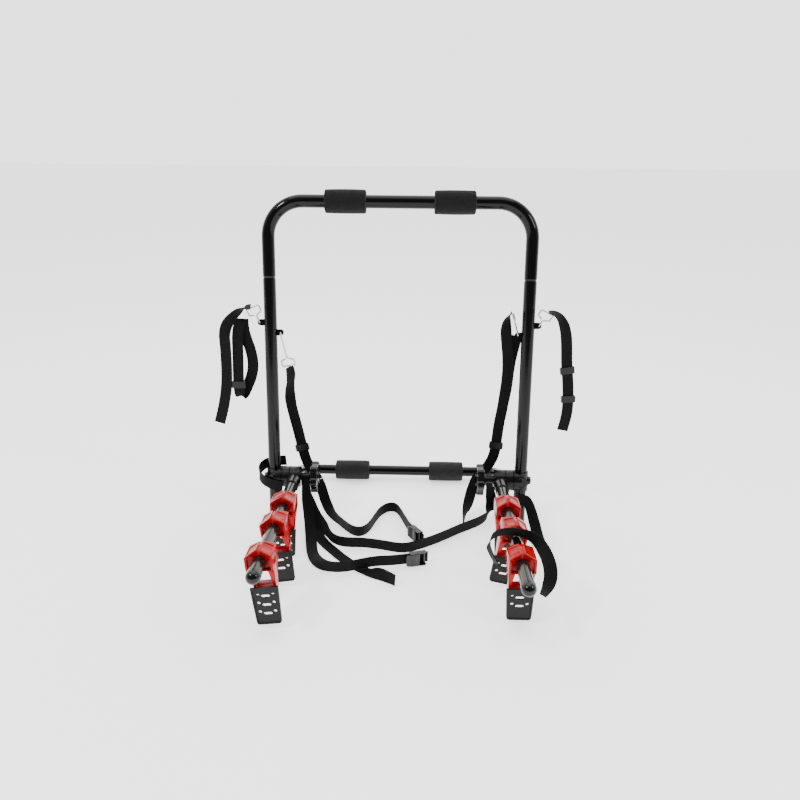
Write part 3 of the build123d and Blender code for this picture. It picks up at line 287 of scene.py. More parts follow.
# %% Tape from a line
SECTION = [(-1, 0), (-0.96, 0.6), (-0.86, 0.5), (-0.4, 0.38), (0.4, 0.38), (0.86, 0.5), (0.96, 0.6),
           (1, 0), (0.96, -0.6), (0.86, -0.5), (0.4, -0.38), (-0.4, -0.38), (-0.86, -0.5), (-0.96, -0.6)]
TAPE_SMOOTHING = 40


def built_mesh(builder, name):
    bmesh.ops.recalc_face_normals(builder, faces=builder.faces)
    mesh = bpy.data.meshes.new(name)
    builder.to_mesh(mesh)
    builder.free()
    return mesh


def tape_mesh(name, route):
    line = smooth_line(name, route)
    builder = bmesh.new()
    uv_layer = builder.loops.layers.uv.new("UVMap")
    rings, travelled = [], [0]
    for before, after in zip(line, line[1:]):
        travelled.append(travelled[-1] + (after - before).length)
    for spot, across, normal, width in tape_frames(route, line):
        rings.append([builder.verts.new(spot + across * (x * width / 2) + normal * (y * WEB_THICKNESS))
                      for x, y in SECTION])
    count = len(SECTION)
    for step in range(len(rings) - 1):
        for side in range(count):
            following = (side + 1) % count
            corners = [(step, side), (step, following), (step + 1, following), (step + 1, side)]
            face = builder.faces.new([rings[a][b] for a, b in corners])
            for loop, (a, b) in zip(face.loops, corners):
                loop[uv_layer].uv = (SECTION[b][0] * WEB_WIDTH / 2, travelled[a])
    for ring, where in ((rings[0], 0), (rings[-1], travelled[-1])):
        face = builder.faces.new(ring)
        for loop in face.loops:
            loop[uv_layer].uv = (0, where)
    return built_mesh(builder, name), line


def add_piece(name, mesh):
    piece = bpy.data.objects.new(name, mesh)
    bpy.context.scene.collection.objects.link(piece)
    return piece


def smooth_by_angle(piece, degrees):
    deselect_all()
    piece.select_set(True)
    bpy.context.view_layer.objects.active = piece
    bpy.ops.object.shade_smooth_by_angle(angle=math.radians(degrees))
    deselect_all()


# %% [markdown]
# Each strap is laid as tape along its route, in place of the frame's own strap, and its
# length is printed. Hooks, sliders and cam buckles sit on the straps. A strap that ends in
# a sewn loop on the part, or lies behind another piece, ends in the object; a cut end is
# bare. The right inner strap has a second layer of webbing on it, which is a length of
# its own here.

# %% Straps
STRAPS = {
    "left_outer_strap": (LEFT_OUTER, "bare", "hanging"),
    "left_outer_loop": (LEFT_OUTER_LOOP, "object", "hanging"),
    "left_inner_strap": (LEFT_INNER, "object", "hanging"),
    "right_outer_strap": (RIGHT_OUTER, "bare", "hanging"),
    "lower_strap_front": (LOWER_FRONT, "bare", "loose"),
    "lower_strap_middle": (LOWER_MIDDLE, "object", "loose"),
    "lower_strap_back": (LOWER_BACK, "bare", "loose"),
    "lower_strap_right": (LOWER_RIGHT, "object", "loose"),
    "lower_strap_tail": (LOWER_TAIL, "bare", "loose"),
    "right_arm_strap": (RIGHT_ARM_BAND, "bare", "loose"),
    "left_hub_strap": (LEFT_HUB_BAND, "bare", "loose"),
    "right_hub_strap": (RIGHT_HUB_BAND, "bare", "hanging"),
    "right_inner_strap": (RIGHT_INNER, "object", "hanging"),
}
straps = []


def add_strap(name, route, body, replaced):
    mesh, line = tape_mesh(name, route)
    piece = add_piece(name, mesh)
    smooth_by_angle(piece, TAPE_SMOOTHING)
    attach(piece, body)
    if replaced:
        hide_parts(*replaced)
    straps.append(piece)
    print(name, round(line_length(line), 3), "m")


for name, (route, far_end, lay) in STRAPS.items():
    body = "right_carrying_arm" if name == "right_arm_strap" else "main_frame"
    add_strap(name + "_woven", route, body, [name])
add_strap("right_inner_second_layer", RIGHT_SECOND, "main_frame", [])

# %% [markdown]
# Effects that several finishes share are node groups. The first one puts out three
# masks over a surface: dust that settles in blotches and on faces that look up, faint
# scuffs, and a fine grain. It is given Object coordinates, so its patterns don't slide
# when a piece moves with its joint. Each finish then chooses how much of each mask it
# uses.

# %% Node helpers
def new_group(name, sockets):
    """A node group with sockets of (label, direction, kind, default or None)."""
    tree = bpy.data.node_groups.new(name, "ShaderNodeTree")
    for label, direction, kind, value in sockets:
        socket = tree.interface.new_socket(name=label, in_out=direction, socket_type="NodeSocket" + kind)
        if value is not None:
            socket.default_value = value
    return tree, tree.nodes.new("NodeGroupInput"), tree.nodes.new("NodeGroupOutput")


def add_node(tree, kind, **values):
    """A shader node. Each value goes to the node's attribute or else input of that name."""
    node = tree.nodes.new("ShaderNode" + kind)
    for name, value in values.items():
        if hasattr(node, name):
            setattr(node, name, value)
        else:
            node.inputs[name].default_value = value
    return node


def scaled(tree, vector, factor):
    node = add_node(tree, "VectorMath", operation="SCALE")
    tree.links.new(vector, node.inputs[0])
    tree.links.new(factor, node.inputs["Scale"])
    return node.outputs[0]


def stepped(tree, value, low, high, to_low=0.0, to_high=1.0):
    """A value between low and high, mapped to one between to_low and to_high."""
    node = add_node(tree, "MapRange")
    node.inputs["From Min"].default_value = low
    node.inputs["From Max"].default_value = high
    node.inputs["To Min"].default_value = to_low
    node.inputs["To Max"].default_value = to_high
    tree.links.new(value, node.inputs["Value"])
    return node.outputs["Result"]


def combined(tree, operation, first, second):
    """One step of arithmetic on two things, each a number or a socket."""
    node = add_node(tree, "Math", operation=operation)
    for socket, value in zip(node.inputs, (first, second)):
        if isinstance(value, (int, float)):
            socket.default_value = value
        else:
            tree.links.new(value, socket)
    return node.outputs[0]


# %% Group: wear of a used surface
wear_tree, wear_in, wear_out = new_group("used_surface", [
    ("Vector", "INPUT", "Vector", None), ("Grain Scale", "INPUT", "Float", 900.0),
    ("Dust", "OUTPUT", "Float", None), ("Scuff", "OUTPUT", "Float", None),
    ("Grain", "OUTPUT", "Float", None)])
blotches = add_node(wear_tree, "TexNoise", Scale=14.0, Detail=6.0, Roughness=0.65)
streaks = add_node(wear_tree, "TexNoise", Scale=160.0, Detail=4.0, Distortion=1.4)
grain = add_node(wear_tree, "TexNoise", Scale=1.0, Detail=2.0)
facing = add_node(wear_tree, "NewGeometry")
upward = add_node(wear_tree, "SeparateXYZ")
wear_tree.links.new(wear_in.outputs["Vector"], blotches.inputs["Vector"])
wear_tree.links.new(wear_in.outputs["Vector"], streaks.inputs["Vector"])
wear_tree.links.new(scaled(wear_tree, wear_in.outputs["Vector"], wear_in.outputs["Grain Scale"]),
                    grain.inputs["Vector"])
wear_tree.links.new(facing.outputs["Normal"], upward.inputs[0])
settled = stepped(wear_tree, upward.outputs["Z"], low=0.1, high=0.95, to_low=0.15, to_high=1.0)
patchy = stepped(wear_tree, blotches.outputs["Fac"], low=0.42, high=0.75)
wear_tree.links.new(combined(wear_tree, "MULTIPLY", settled, patchy), wear_out.inputs["Dust"])
scuffs = stepped(wear_tree, streaks.outputs["Fac"], low=0.5, high=0.72)
wear_tree.links.new(scuffs, wear_out.inputs["Scuff"])
wear_tree.links.new(grain.outputs["Fac"], wear_out.inputs["Grain"])
print("groups:", [tree.name for tree in bpy.data.node_groups])

# %% [markdown]
# Plain weave is threads over and under each other. Two sets of waves at right angles
# are multiplied, so that a crown stands wherever both are strong. On tape the waves
# follow its UV map in metres: fine cords run along it and ribs run across.

# %% Group: woven threads
weave_tree, weave_in, weave_out = new_group("woven_threads", [
    ("Vector", "INPUT", "Vector", None), ("Threads Across", "INPUT", "Float", 700.0),
    ("Threads Along", "INPUT", "Float", 900.0),
    ("Crowns", "OUTPUT", "Float", None), ("Fuzz", "OUTPUT", "Float", None)])
parts = add_node(weave_tree, "SeparateXYZ")
weave_tree.links.new(weave_in.outputs["Vector"], parts.inputs[0])
turns_across = combined(weave_tree, "MULTIPLY", parts.outputs["X"], weave_in.outputs["Threads Across"])
turns_along = combined(weave_tree, "MULTIPLY", parts.outputs["Y"], weave_in.outputs["Threads Along"])
wave_across = combined(weave_tree, "ABSOLUTE", combined(weave_tree, "SINE", turns_across, 0), 0)
wave_along = combined(weave_tree, "ABSOLUTE", combined(weave_tree, "SINE", turns_along, 0), 0)
crowns = combined(weave_tree, "MULTIPLY", wave_across, wave_along)
fuzz = add_node(weave_tree, "TexNoise", Scale=420.0, Detail=5.0, Roughness=0.7)
weave_tree.links.new(weave_in.outputs["Vector"], fuzz.inputs["Vector"])
weave_tree.links.new(crowns, weave_out.inputs["Crowns"])
weave_tree.links.new(fuzz.outputs["Fac"], weave_out.inputs["Fuzz"])

# %% [markdown]
# One recipe serves all the hard finishes. The base colour turns towards dust where the
# dust mask is, scuffs raise the roughness, and the grain is a faint bump: orange peel on
# powder coat, spark texture on mouldings, brushing on plated steel. The constant values
# sit on the Principled shader's own sockets.
# Each finish is given its colour, the colour of its dust, the share of dust, the
# roughness where it is clean and where it is worn, and the grain: its scale and the
# height of its bumps in metres.

# %% Hard finishes
MIX_FACTOR, MIX_FIRST, MIX_SECOND, MIX_RESULT = 0, 6, 7, 2
FULL_WEAR = 1.3
BRUSHED = (1, 8, 1)
DUST = (0.06, 0.058, 0.055)
PAINT_BLACK = (0.001, 0.001, 0.0012)
PLASTIC_BLACK = (0.0015, 0.0015, 0.0017)
ARM_GREY = (0.035, 0.034, 0.029)
RED, DUSTY_RED = (0.36, 0.0002, 0.0015), (0.28, 0.002, 0.003)
WIRE_GREY, DULL_WIRE = (0.5, 0.5, 0.5), (0.25, 0.24, 0.22)
ZINC_GREY, DULL_ZINC = (0.05, 0.05, 0.05), (0.03, 0.03, 0.028)
BRASS_YELLOW, DULL_BRASS = (0.62, 0.42, 0.16), (0.3, 0.24, 0.15)


def mixed_colour(tree, factor, first, second):
    node = add_node(tree, "Mix", data_type="RGBA")
    tree.links.new(factor, node.inputs[MIX_FACTOR])
    node.inputs[MIX_FIRST].default_value = (*first, 1)
    node.inputs[MIX_SECOND].default_value = (*second, 1)
    return node.outputs[MIX_RESULT]


def add_bump(tree, shader, height, distance):
    bump = add_node(tree, "Bump", Distance=distance, Strength=1.0)
    tree.links.new(height, bump.inputs["Height"])
    tree.links.new(bump.outputs["Normal"], shader.inputs["Normal"])


def hard_finish(name, colour, dusty, dust_share, rough, grain, stretch=(1, 1, 1), **constants):
    clean, scuffed = rough
    grain_scale, grain_height = grain
    material = bpy.data.materials.new(name)
    material.use_nodes = True
    tree = material.node_tree
    shader = tree.nodes["Principled BSDF"]
    place = add_node(tree, "TexCoord")
    mapping = add_node(tree, "Mapping", Scale=stretch)
    wear = add_node(tree, "Group", node_tree=wear_tree)
    wear.inputs["Grain Scale"].default_value = grain_scale
    tree.links.new(place.outputs["Object"], mapping.inputs["Vector"])
    tree.links.new(mapping.outputs["Vector"], wear.inputs["Vector"])
    dust = combined(tree, "MULTIPLY", wear.outputs["Dust"], dust_share)
    tree.links.new(mixed_colour(tree, dust, colour, dusty), shader.inputs["Base Color"])
    wear_sum = combined(tree, "ADD", wear.outputs["Scuff"], dust)
    worn = stepped(tree, wear_sum, 0.0, FULL_WEAR, clean, scuffed)
    tree.links.new(worn, shader.inputs["Roughness"])
    add_bump(tree, shader, wear.outputs["Grain"], grain_height)
    for socket, value in constants.items():
        shader.inputs[socket.replace("_", " ")].default_value = value
    material.diffuse_color = (*colour, 1)
    return material


powder_coat = hard_finish("black_powder_coat", PAINT_BLACK, DUST, 0.03, (0.1, 0.16), (420, 0.00001),
                          Specular_IOR_Level=0.22)
arm_coat = hard_finish("grey_arm_coat", ARM_GREY, DUST, 0.04, (0.2, 0.26), (500, 0.00001),
                       Metallic=0.8, Coat_Weight=0.25, Coat_Roughness=0.06)
moulding = hard_finish("black_moulding", PLASTIC_BLACK, DUST, 0.05, (0.24, 0.36), (1500, 0.00002),
                       Specular_IOR_Level=0.25)
gloss_moulding = hard_finish("gloss_black_moulding", PAINT_BLACK, DUST, 0.02, (0.06, 0.12),
                             (700, 0.000005), Specular_IOR_Level=0.35)
red_moulding = hard_finish("red_moulding", RED, DUSTY_RED, 0.1, (0.14, 0.22), (900, 0.00001),
                           Specular_IOR_Level=0.18)
strap_rubber = hard_finish("strap_rubber", PLASTIC_BLACK, DUST, 0.04, (0.36, 0.5), (1100, 0.00003),
                           Specular_IOR_Level=0.25)
plated_wire = hard_finish("plated_wire", WIRE_GREY, DULL_WIRE, 0.2, (0.14, 0.3), (1400, 0.00002),
                          Metallic=1.0)
zinc_plate = hard_finish("zinc_plate", ZINC_GREY, DULL_ZINC, 0.2, (0.26, 0.4), (600, 0.00002),
                         stretch=BRUSHED, Metallic=1.0)
brass = hard_finish("brass", BRASS_YELLOW, DULL_BRASS, 0.3, (0.25, 0.45), (900, 0.00002), Metallic=1.0)

# %% [markdown]
# Webbing and the pads' cloth are fabrics: rough, with a soft bright edge that sheen
# gives where fibres stand up. Tape and sleeves read their own UV maps. Sewing thread is
# too thin to show a weave and has no map. Each fabric is given the colours of its gaps
# and of its crowns, how fast its waves turn across and along, the depth of the weave in
# metres, its sheen and its roughness. The darker gap colour is painted shade between the
# threads, and the lighter crown colour is a painted highlight.

# %% Fabrics
CROWN_RANGE, FUZZ_RANGE = (0.05, 0.6), (0.3, 0.7)
FUZZ_ROUGHNESS, FUZZ_HEIGHT = 0.15, 0.4
CLOTH_SPECULAR, SHEEN_ROUGHNESS = 0.12, 0.45


def cloth_finish(name, dark, light, threads, depth, sheen, rough):
    across, along = threads
    material = bpy.data.materials.new(name)
    material.use_nodes = True
    tree = material.node_tree
    shader = tree.nodes["Principled BSDF"]
    place = add_node(tree, "TexCoord")
    weave = add_node(tree, "Group", node_tree=weave_tree)
    weave.inputs["Threads Across"].default_value = across
    weave.inputs["Threads Along"].default_value = along
    tree.links.new(place.outputs["UV"], weave.inputs["Vector"])
    # The base colour is painted light: painted shade in the weave's gaps and a painted highlight on its
    # crowns, varied at random by the fuzz.
    tone = combined(tree, "MULTIPLY", weave.outputs["Crowns"], weave.outputs["Fuzz"])
    painted_crown_light = stepped(tree, tone, *CROWN_RANGE)
    tree.links.new(mixed_colour(tree, painted_crown_light, dark, light), shader.inputs["Base Color"])
    fuzzy = stepped(tree, weave.outputs["Fuzz"], *FUZZ_RANGE, rough, rough + FUZZ_ROUGHNESS)
    tree.links.new(fuzzy, shader.inputs["Roughness"])
    raised = combined(tree, "MULTIPLY", weave.outputs["Fuzz"], FUZZ_HEIGHT)
    add_bump(tree, shader, combined(tree, "ADD", weave.outputs["Crowns"], raised), depth)
    shader.inputs["Sheen Weight"].default_value = sheen
    shader.inputs["Specular IOR Level"].default_value = CLOTH_SPECULAR
    shader.inputs["Sheen Roughness"].default_value = SHEEN_ROUGHNESS
    material.diffuse_color = (*dark, 1)
    return material


webbing_cloth = cloth_finish("woven_webbing", PAINT_BLACK, (0.004, 0.004, 0.0044), (1300, 1900),
                             0.0003, 0.02, 0.6)
sleeve_cloth = cloth_finish("sleeve_cloth", (0.005, 0.005, 0.0055), (0.014, 0.014, 0.0145),
                            (2600, 2600), 0.0002, 0.06, 0.75)
thread = cloth_finish("sewing_thread", (0.02, 0.02, 0.021), (0.05, 0.05, 0.052), (4000, 4000),
                      0.0001, 0.05, 0.6)
for strap in straps:
    strap.data.materials.append(webbing_cloth)

# %% Foam of the lower pads
foam = hard_finish("closed_foam", (0.006, 0.006, 0.0065), DUST, 0.08, (0.7, 0.9), (800, 0.0002),
                   Specular_IOR_Level=0.3)

# %% Finishes of the frame's own pieces
FINISH_OF_SLOT = {
    "black_coat": powder_coat, "arm_coat": arm_coat, "pad_cover": sleeve_cloth, "foam": foam,
    "hub_plastic": moulding, "knob_plastic": gloss_moulding, "cradle_plastic": red_moulding,
    "strap_rubber": strap_rubber, "wire": plated_wire, "bright_steel": zinc_plate, "brass": brass,
    "webbing": webbing_cloth,
}
slot_of_node = {entry["node"]: entry["material_slot"] for entry in frame["record"]["subparts"]}
for name, node in frame["nodes"].items():
    for place in node.material_slots:
        place.material = FINISH_OF_SLOT[slot_of_node[name]]
print("nodes with a finish:", len(frame["nodes"]))

# %% [markdown]
# Moulded pieces never have knife edges. The six red saddles are copied, their loose
# triangles are joined into faces again, and a narrow bevel rounds every edge that turns
# by more than 30 degrees. Before the bevel, a wedge is cut out of the gable at both
# ends, so that the edges of the two roof panels run back to the ridge. The wedge stands
# on the saddle's own axes, which the records of its swivel and of its seat give. The
# frame's own saddles stay for the collision.

# %% Gable wedges
SADDLE_LENGTH, SADDLE_WIDTH = 0.05, 0.05
WEDGE_DEPTH, WEDGE_FLOOR, WEDGE_TOP = 0.009, 0.0135, 0.03
WEDGE_SPREAD, WEDGE_REACH = 0.6, 0.55
swivels = {joint["name"]: joint for joint in frame["record"]["behaviour"]["joints"]}
seats = {mount["name"]: mount for mount in frame["record"]["mounts"]}


def add_wedge(saddle, end):
    swivel = swivels[saddle + "_saddle_swivel"]
    along = Vector(swivel["axis"]).normalized()
    upward = Vector(seats[saddle + "_saddle"]["axis"]).normalized()
    across = along.cross(upward)
    middle = Vector(swivel["pos_m"])
    plan = [(-SADDLE_WIDTH * WEDGE_SPREAD, SADDLE_LENGTH * WEDGE_REACH),
            (SADDLE_WIDTH * WEDGE_SPREAD, SADDLE_LENGTH * WEDGE_REACH),
            (0, SADDLE_LENGTH / 2 - WEDGE_DEPTH)]
    builder = bmesh.new()
    low, high = [[builder.verts.new(middle + across * x + along * end * y + upward * height)
                  for x, y in plan] for height in (WEDGE_FLOOR, WEDGE_TOP)]
    builder.faces.new(low)
    builder.faces.new(high)
    for index in range(len(plan)):
        following = (index + 1) % len(plan)
        builder.faces.new([low[index], low[following], high[following], high[index]])
    return add_piece("wedge", built_mesh(builder, "wedge"))


# %% Softened saddles
SADDLES = [side + "_" + place for side in ("left", "right") for place in ("rear", "middle", "front")]
MERGE_DISTANCE, FLAT_ANGLE = 0.00001, 1.5
BEVEL_WIDTH, BEVEL_SEGMENTS, BEVEL_ANGLE = 0.0007, 2, 30
MOULDING_SMOOTHING = 35


def softened(node, body, finish, cutters):
    piece = add_piece(node + "_rounded", frame["nodes"][node].data.copy())
    deselect_all()
    piece.select_set(True)
    bpy.context.view_layer.objects.active = piece
    bpy.ops.object.mode_set(mode="EDIT")
    bpy.ops.mesh.select_all(action="SELECT")
    bpy.ops.mesh.remove_doubles(threshold=MERGE_DISTANCE)
    bpy.ops.mesh.dissolve_limited(angle_limit=math.radians(FLAT_ANGLE))
    bpy.ops.object.mode_set(mode="OBJECT")
    for cutter in cutters:
        cut = piece.modifiers.new("cut", "BOOLEAN")
        cut.operation = "DIFFERENCE"
        cut.object = cutter
        bpy.ops.object.modifier_apply(modifier=cut.name)
        bpy.data.objects.remove(cutter)
    bevel = piece.modifiers.new("rounded edges", "BEVEL")
    bevel.width = BEVEL_WIDTH
    bevel.segments = BEVEL_SEGMENTS
    bevel.limit_method = "ANGLE"
    bevel.angle_limit = math.radians(BEVEL_ANGLE)
    bevel.use_clamp_overlap = True
    bpy.ops.object.modifier_apply(modifier=bevel.name)
    smooth_by_angle(piece, MOULDING_SMOOTHING)
    piece.data.materials.clear()
    piece.data.materials.append(finish)
    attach(piece, body)
    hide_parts(node)
    return piece


for saddle in SADDLES:
    rounded = softened(saddle + "_cradle", saddle + "_saddle", red_moulding,
                       [add_wedge(saddle, end) for end in (-1, 1)])
    print(rounded.name, len(rounded.data.polygons), "faces")

# %% [markdown]
# The upper pads are cloth sleeves over soft foam. The cloth is sewn round at both ends
# and pulled slightly in there, so the sleeve swells between the seams and creases near
# them. It is built from rings along the bar, with a lip at each end that closes it down
# to the bar. The creases are small moves of its points that fade away from the seams.
# The lower pads are foam tubes of the same build, with less swelling and fainter
# creases. Sizes are in metres, and a share runs from 0 at a pad's middle to 1 at its end.

# %% Pads
PAD_RADIUS = 0.0255
PAD_LENGTH = 0.088
BAR_RADIUS = 0.014
LIP_GAP = 0.0004
SEAM_SHARE, SEAM_SPREAD, SEAM_DEPTH = 0.9, 0.02, 0.0006
END_SHARE, END_SPAN = 0.93, 0.07
END_RADIUS, END_DROP = 0.965, 0.2
PAD_ROUNDS, PAD_STEPS = 72, 56
RING_SPREAD = 0.8
CREASE_SLANT, CREASE_FADE = 3, 3
UPPER_CROWN, UPPER_CREASE, UPPER_SEED = 0.03, 0.00035, 11
LOWER_CROWN, LOWER_CREASE, LOWER_SEED = 0.02, 0.00012, 21
PAD_SMOOTHING = 50


def box_centre(node):
    low, high = (Vector(corner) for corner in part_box(node))
    return (low + high) / 2


def pad_profile(share, crown):
    """Radius of a sleeve at a share of its half length, with its ends drawn in to the bar."""
    if share > END_SHARE:
        turn = (share - END_SHARE) / END_SPAN
        drop = (PAD_RADIUS * END_DROP) * (1 - math.sqrt(max(0, 1 - turn * turn)))
        return PAD_RADIUS * END_RADIUS - drop
    seam = math.exp(-((share - SEAM_SHARE) / SEAM_SPREAD) ** 2)
    return PAD_RADIUS * (END_RADIUS + crown * math.cos(share * math.pi / 2)) - SEAM_DEPTH * seam


def pad_waves(seed):
    """Five waves round the sleeve, each with its count, its phase and its size."""
    noise = random.Random(seed)
    return [(noise.randint(2, 9), noise.uniform(0, 6.3), noise.uniform(0.4, 1)) for _ in range(5)]


def make_pad(node, finish, body, crown, crease, seed):
    centre = box_centre(node)
    waves = pad_waves(seed)
    builder = bmesh.new()
    uv_layer = builder.loops.layers.uv.new("UVMap")
    rings, places = [], []
    for step in range(PAD_STEPS + 1):
        along = -math.cos(math.pi * step / PAD_STEPS)
        along = math.copysign(abs(along) ** RING_SPREAD, along)
        share = abs(along)
        ring = []
        for index in range(PAD_ROUNDS):
            angle = 2 * math.pi * index / PAD_ROUNDS
            ripple = sum(size * math.sin(count * angle + shift + along * CREASE_SLANT)
                         for count, shift, size in waves)
            fold = crease * ripple * share ** CREASE_FADE * (share < END_SHARE)
            radius = pad_profile(share, crown) + fold
            offset = (along * PAD_LENGTH / 2, math.cos(angle) * radius, math.sin(angle) * radius)
            ring.append(builder.verts.new(centre + Vector(offset)))
        rings.append(ring)
        places.append(along * PAD_LENGTH / 2)
    lips = []
    for ring in (rings[0], rings[-1]):
        middle = Vector((ring[0].co.x, centre.y, centre.z))
        outward = [(vertex.co - middle).normalized() for vertex in ring]
        lips.append([builder.verts.new(middle + way * (BAR_RADIUS + LIP_GAP)) for way in outward])
    rings = [lips[0]] + rings + [lips[1]]
    places = [places[0]] + places + [places[-1]]
    for step in range(len(rings) - 1):
        for index in range(PAD_ROUNDS):
            following = (index + 1) % PAD_ROUNDS
            face = builder.faces.new([rings[step][index], rings[step][following],
                                      rings[step + 1][following], rings[step + 1][index]])
            corners = ((step, index), (step, index + 1), (step + 1, index + 1), (step + 1, index))
            for loop, (a, b) in zip(face.loops, corners):
                loop[uv_layer].uv = (2 * math.pi * PAD_RADIUS * b / PAD_ROUNDS, places[a])
    for index in range(PAD_ROUNDS):
        following = (index + 1) % PAD_ROUNDS
        builder.faces.new([rings[0][index], rings[-1][index], rings[-1][following], rings[0][following]])
    mesh = built_mesh(builder, node + "_sleeve")
    mesh.materials.append(finish)
    pad = add_piece(node + "_sleeve", mesh)
    smooth_by_angle(pad, PAD_SMOOTHING)
    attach(pad, body)
    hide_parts(node)


for number, side in enumerate(("left", "right")):
    make_pad(side + "_upper_pad", sleeve_cloth, "main_frame",
             UPPER_CROWN, UPPER_CREASE, UPPER_SEED + number)
    make_pad(side + "_lower_pad", foam, "lower_stay",
             LOWER_CROWN, LOWER_CREASE, LOWER_SEED + number)

# %% [markdown]
# Sewing is modelled too. A stitch is a short thread that rises out of the cloth in its
# middle. Both ends of each pad have a row of them round the seam, and each of the four
# straps that hang from a hook has three rows across it near its upper end.

# %% Sewing
THREAD_RADIUS = 0.00028
STITCH_RINGS, STITCH_SIDES = 5, 6
STITCH_RISE, STITCH_SINK = 2.2, 0.6
STITCH_TIP, STITCH_SWELL = 0.55, 0.45
THREAD_SMOOTHING = 60


def add_stitches(name, stitches, body):
    """Each stitch is (start, end, outward direction)."""
    builder = bmesh.new()
    turns = [2 * math.pi * index / STITCH_SIDES for index in range(STITCH_SIDES)]
    for start, end, outward in stitches:
        along = (end - start).normalized()
        side = along.cross(outward).normalized()
        rings = []
        for step in range(STITCH_RINGS):
            share = step / (STITCH_RINGS - 1)
            lift = THREAD_RADIUS * (STITCH_RISE * math.sin(math.pi * share) - STITCH_SINK)
            radius = THREAD_RADIUS * (STITCH_TIP + STITCH_SWELL * math.sin(math.pi * share))
            middle = start.lerp(end, share) + outward * lift
            offsets = [(side * math.cos(turn) + outward * math.sin(turn)) * radius for turn in turns]
            rings.append([builder.verts.new(middle + offset) for offset in offsets])
        for before, after in zip(rings, rings[1:]):
            for index in range(STITCH_SIDES):
                following = (index + 1) % STITCH_SIDES
                builder.faces.new([before[index], before[following], after[following], after[index]])
        builder.faces.new(rings[0])
        builder.faces.new(rings[-1])
    mesh = built_mesh(builder, name)
    mesh.materials.append(thread)
    piece = add_piece(name, mesh)
    smooth_by_angle(piece, THREAD_SMOOTHING)
    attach(piece, body)


# %% Seams round the pads
SEAM_STITCHES = 44
SEAM_PARTS = (0, 0.3, 0.6)


def seam_stitches(node, crown):
    """A row round the pad at each end. Thread covers six tenths of each step."""
    centre = box_centre(node)
    radius = pad_profile(SEAM_SHARE, crown) + THREAD_RADIUS / 2
    stitches = []
    for end in (-1, 1):
        base = centre + Vector((end * SEAM_SHARE * PAD_LENGTH / 2, 0, 0))
        for index in range(SEAM_STITCHES):
            turns = [2 * math.pi * (index + part) / SEAM_STITCHES for part in SEAM_PARTS]
            outward = [Vector((0, math.cos(turn), math.sin(turn))) for turn in turns]
            stitches.append((base + outward[0] * radius, base + outward[2] * radius, outward[1]))
    return stitches


for side in ("left", "right"):
    for node, crown, body, slot in ((side + "_upper_pad", UPPER_CROWN, "main_frame", "pad_cover"),
                                    (side + "_lower_pad", LOWER_CROWN, "lower_stay", "foam")):
        add_stitches(node + "_stitches", seam_stitches(node, crown), body)

# %% Bar tacks across the straps
SEWN = {"left_outer": LEFT_OUTER, "left_inner": LEFT_INNER,
        "right_outer": RIGHT_OUTER, "right_inner": RIGHT_INNER}
TACK_ROWS = (0.008, 0.016, 0.024)
TACKS_ACROSS = 7
TACK_PARTS = (0.1, 0.75)
TACKED_WIDTH, TACK_HEIGHT = 0.78, 0.38


def strap_stitches(route):
    """Rows across both faces of a tape, at set distances from its start."""
    line = smooth_line("row", route)
    frames = tape_frames(route, line)
    stitches = []
    for row in TACK_ROWS:
        travelled, number = 0, 0
        while travelled < row:
            travelled += (line[number + 1] - line[number]).length
            number += 1
        spot, across, normal, width = frames[number]
        for face in (-1, 1):
            surface = spot + normal * face * WEB_THICKNESS * TACK_HEIGHT
            for index in range(TACKS_ACROSS):
                ends = [surface + across * ((index + part) / TACKS_ACROSS - 0.5) * width * TACKED_WIDTH
                        for part in TACK_PARTS]
                stitches.append((ends[0], ends[1], normal * face))
    return stitches


for name, route in SEWN.items():
    add_stitches(name + "_bar_tacks", strap_stitches(route), "main_frame")

# %% [markdown]
# The floor is a plain pale light table, and the backdrop is a white cove that fades into
# a dim room on the viewer's side. Black paint then mirrors the dim room and stays black,
# with bright lines where it mirrors the lights: one from the left and above, one from
# the right, and a wide one overhead.

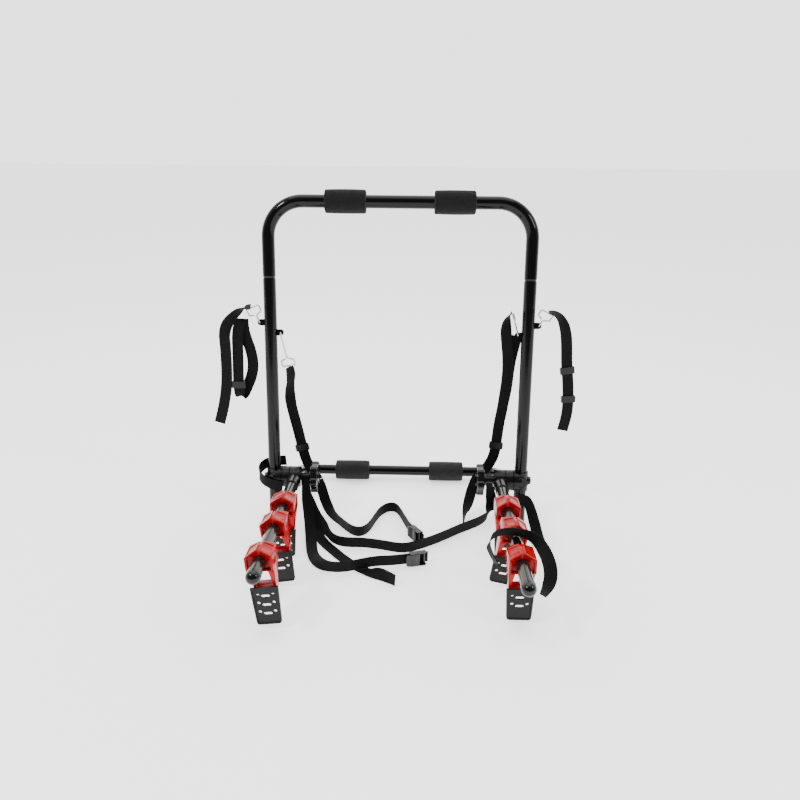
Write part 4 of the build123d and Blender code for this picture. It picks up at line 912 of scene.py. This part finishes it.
# %% Floor and light
FLOOR_SIZE, FLOOR_CENTRE = 30, (0, 6, 0)
FLOOR_GLOW, COVE_LIGHT, ROOM_LIGHT = 1.0, 2.6, 0.3
DIM_SIDE, BRIGHT_SIDE = -0.5, 0.6
RACK_MIDDLE = (0, 0, 0.3)
bpy.ops.mesh.primitive_plane_add(size=FLOOR_SIZE, location=FLOOR_CENTRE)
floor = bpy.context.object
floor.name = "floor"
floor_paint = bpy.data.materials.new("pale_floor")
floor_paint.use_nodes = True
floor_shader = floor_paint.node_tree.nodes["Principled BSDF"]
floor_shader.inputs["Base Color"].default_value = (0.95, 0.95, 0.95, 1)
floor_shader.inputs["Roughness"].default_value = 0.8
floor_shader.inputs["Specular IOR Level"].default_value = 0.0
floor_shader.inputs["Emission Color"].default_value = (1, 1, 1, 1)
floor_shader.inputs["Emission Strength"].default_value = FLOOR_GLOW
floor.data.materials.append(floor_paint)

world = bpy.data.worlds.new("studio")
bpy.context.scene.world = world
world.use_nodes = True
backdrop = world.node_tree.nodes["Background"]
backdrop.inputs["Color"].default_value = (1, 1, 1, 1)
direction = add_node(world.node_tree, "TexCoord")
direction_parts = add_node(world.node_tree, "SeparateXYZ")
world.node_tree.links.new(direction.outputs["Generated"], direction_parts.inputs[0])
fade = stepped(world.node_tree, direction_parts.outputs["Y"], DIM_SIDE, BRIGHT_SIDE,
               ROOM_LIGHT, COVE_LIGHT)
world.node_tree.links.new(fade, backdrop.inputs["Strength"])


def add_light(name, place, target, size, power):
    light = bpy.data.objects.new(name, bpy.data.lights.new(name, "AREA"))
    light.data.shape = "RECTANGLE"
    light.data.size, light.data.size_y = size
    light.data.energy = power
    aim = (Vector(target) - Vector(place)).to_track_quat("-Z", "Y")
    light.matrix_world = Matrix.Translation(place) @ aim.to_matrix().to_4x4()
    bpy.context.scene.collection.objects.link(light)


add_light("key_light", place=(-1.6, -1.2, 2.4), target=RACK_MIDDLE, size=(0.35, 0.35), power=36)
add_light("fill_light", place=(1.9, -0.9, 1.6), target=RACK_MIDDLE, size=(0.4, 0.6), power=14)
add_light("top_light", place=(0.0, 0.3, 3.2), target=(0, 0, 0), size=(3.0, 3.0), power=50)
